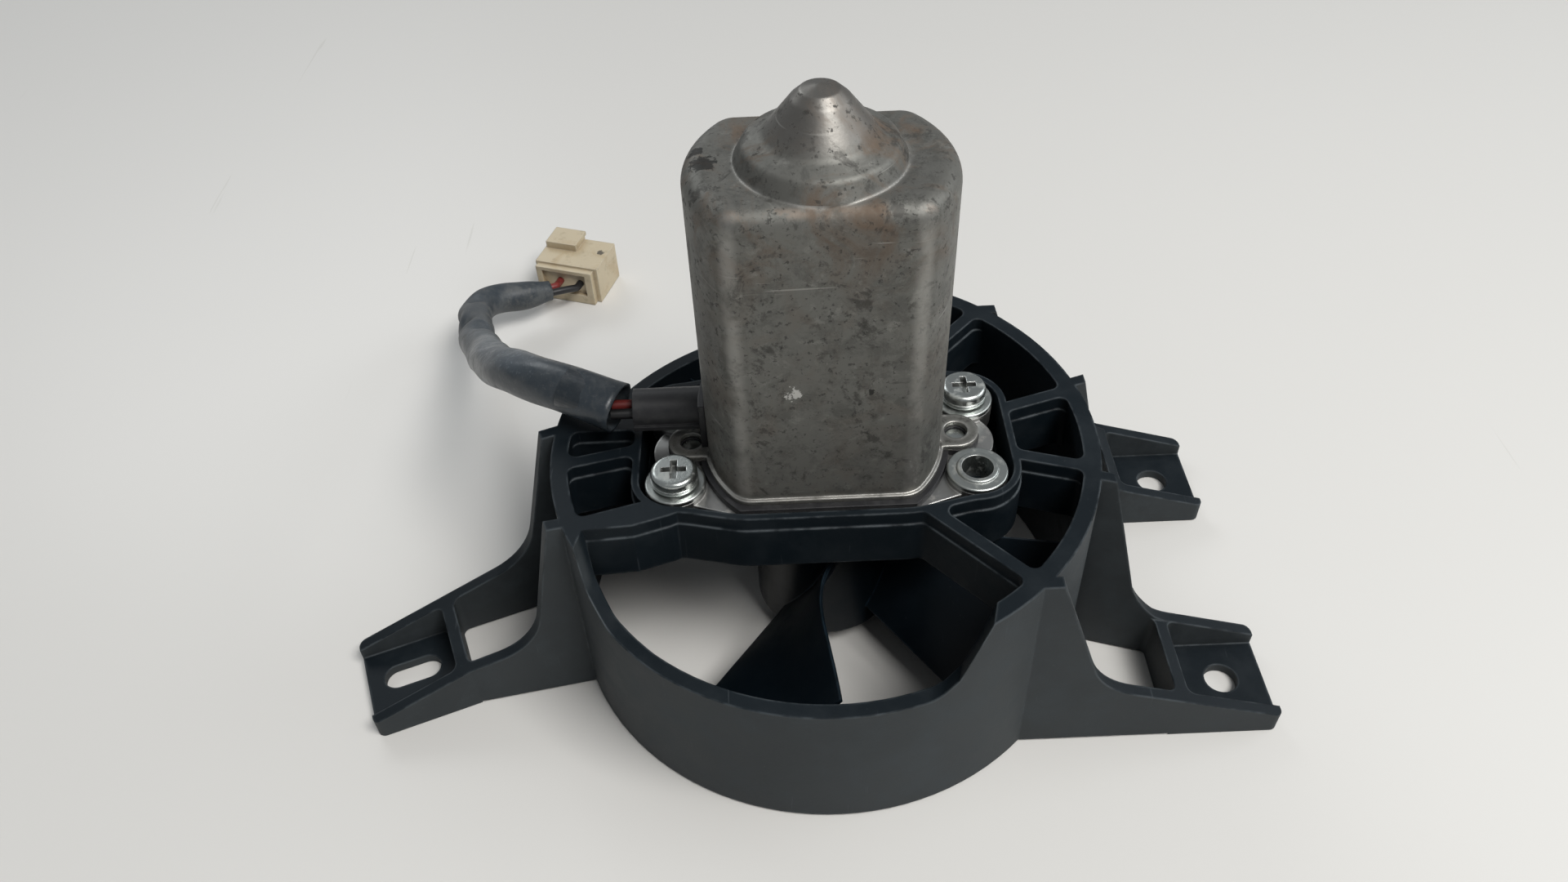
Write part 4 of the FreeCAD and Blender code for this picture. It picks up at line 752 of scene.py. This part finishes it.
class RADIATOR_FAN_OT_impeller(bpy.types.Operator):
    """Finish the impeller and what holds it on the shaft"""

    bl_idname = "radiator_fan.impeller"
    bl_label = "Impeller"

    def execute(self, context):
        # Colour of the painted sheen on outer upright walls, for the impeller
        wall = [channel * 1.5 for channel in colours().impeller]
        worn = [channel * 5.0 for channel in colours().impeller]
        finish(moulded_plastic("impeller nylon", colours().impeller, wall, worn, 0.32), "fan_impeller")
        finish(plated_metal("nut plating", colours().plating, 0.4, 0.3), "fan_washer", "fan_nut")
        return {"FINISHED"}


class RADIATOR_FAN_OT_motor(bpy.types.Operator):
    """Finish the can, its plate, gasket, bushes and screws"""

    bl_idname = "radiator_fan.motor"
    bl_label = "Motor"

    def execute(self, context):
        finish(drawn_steel(colours().can), "motor_can")
        finish(plated_metal("cast zinc", (0.46, 0.46, 0.45), 0.5, 0.38, 0.0008), "motor_plate")
        finish(plain_rubber("gasket rubber", (0.018, 0.018, 0.02), 0.12), "base_gasket")
        bushes = ["lug_bush_%d" % number for number in range(1, 5)]
        finish(plated_metal("bush plating", colours().plating, 0.45, 0.30), *bushes)
        screws = ["%s_%d" % (name, number) for name in ("mounting_screw", "screw_washer", "can_screw")
                  for number in (1, 2)]
        bright = [channel * 1.1 for channel in colours().plating]
        finish(plated_metal("screw plating", bright, 0.25, 0.22), *screws)
        return {"FINISHED"}


class RADIATOR_FAN_OT_inside(bpy.types.Operator):
    """Finish the armature, magnets, bearings and brush gear"""

    bl_idname = "radiator_fan.inside"
    bl_label = "Inside of the motor"

    def execute(self, context):
        finish(machined("ground steel", (0.56, 0.56, 0.55), 0.22), "shaft")
        finish(machined("core iron", (0.24, 0.24, 0.25), 0.4), "armature_core")
        finish(wound_copper((0.62, 0.25, 0.10)), "armature_windings")
        finish(machined("commutator copper", (0.62, 0.33, 0.2), 0.3), "commutator")
        finish(machined("sintered bronze", (0.42, 0.30, 0.16), 0.45), "front_bearing", "rear_bearing",
               "brush_holder_1", "brush_holder_2")
        finish(machined("spring steel", (0.5, 0.5, 0.5), 0.3), "bearing_clip", "brush_spring_1",
               "brush_spring_2")
        finish(machined("ferrite", (0.06, 0.06, 0.065), 0.5, 0.2), "field_magnet_1", "field_magnet_2")
        finish(machined("carbon", (0.03, 0.03, 0.032), 0.5, 0.1), "brush_1", "brush_2")
        finish(machined("phenolic sheet", (0.22, 0.12, 0.05), 0.55, 0.0), "brush_card", "thrust_washer_1",
               "thrust_washer_2")
        return {"FINISHED"}


class RADIATOR_FAN_OT_lead(bpy.types.Operator):
    """Finish the grommet, the wires and the connector"""

    bl_idname = "radiator_fan.lead"
    bl_label = "Lead"

    def execute(self, context):
        finish(plain_rubber("grommet rubber", (0.022, 0.022, 0.024), 0.2), "cable_grommet")
        finish(insulation("red insulation", (0.22, 0.030, 0.026)), "red_wire", "red_tail")
        finish(insulation("black insulation", (0.014, 0.014, 0.015)), "black_wire", "black_tail")
        finish(aged_nylon(colours().connector), "connector_housing")
        finish(plated_metal("tinned brass", (0.62, 0.60, 0.52), 0.3, 0.3), "connector_terminal_1",
               "connector_terminal_2")
        return {"FINISHED"}


class RADIATOR_FAN_PT_panel(bpy.types.Panel):
    """Lists the pieces, sizes and colours of the fan"""

    bl_idname = "RADIATOR_FAN_PT_panel"
    bl_label = "Radiator fan"
    bl_space_type = "VIEW_3D"
    bl_region_type = "UI"
    bl_category = "Radiator fan"

    def draw(self, context):
        for step in STEPS:
            self.layout.operator(step.bl_idname)
        for group in (colours(), sizes()):
            for name in group.__annotations__:
                self.layout.prop(group, name)


STEPS = (
    RADIATOR_FAN_OT_stage,
    RADIATOR_FAN_OT_sleeve,
    RADIATOR_FAN_OT_shroud,
    RADIATOR_FAN_OT_impeller,
    RADIATOR_FAN_OT_motor,
    RADIATOR_FAN_OT_inside,
    RADIATOR_FAN_OT_lead,
)
CLASSES = (RadiatorFanColours, RadiatorFanSizes, *STEPS, RADIATOR_FAN_PT_panel)


def register():
    for kind in CLASSES:
        bpy.utils.register_class(kind)
    bpy.types.Scene.radiator_fan_colours = bpy.props.PointerProperty(type=RadiatorFanColours)
    bpy.types.Scene.radiator_fan_sizes = bpy.props.PointerProperty(type=RadiatorFanSizes)


def unregister():
    del bpy.types.Scene.radiator_fan_sizes
    del bpy.types.Scene.radiator_fan_colours
    for kind in reversed(CLASSES):
        bpy.utils.unregister_class(kind)


def main():
    register()
    for step in STEPS:
        bpy.ops.object.select_all(action="DESELECT")
        group, name = step.bl_idname.split(".")
        getattr(getattr(bpy.ops, group), name)()


if __name__ == "__main__":
    main()
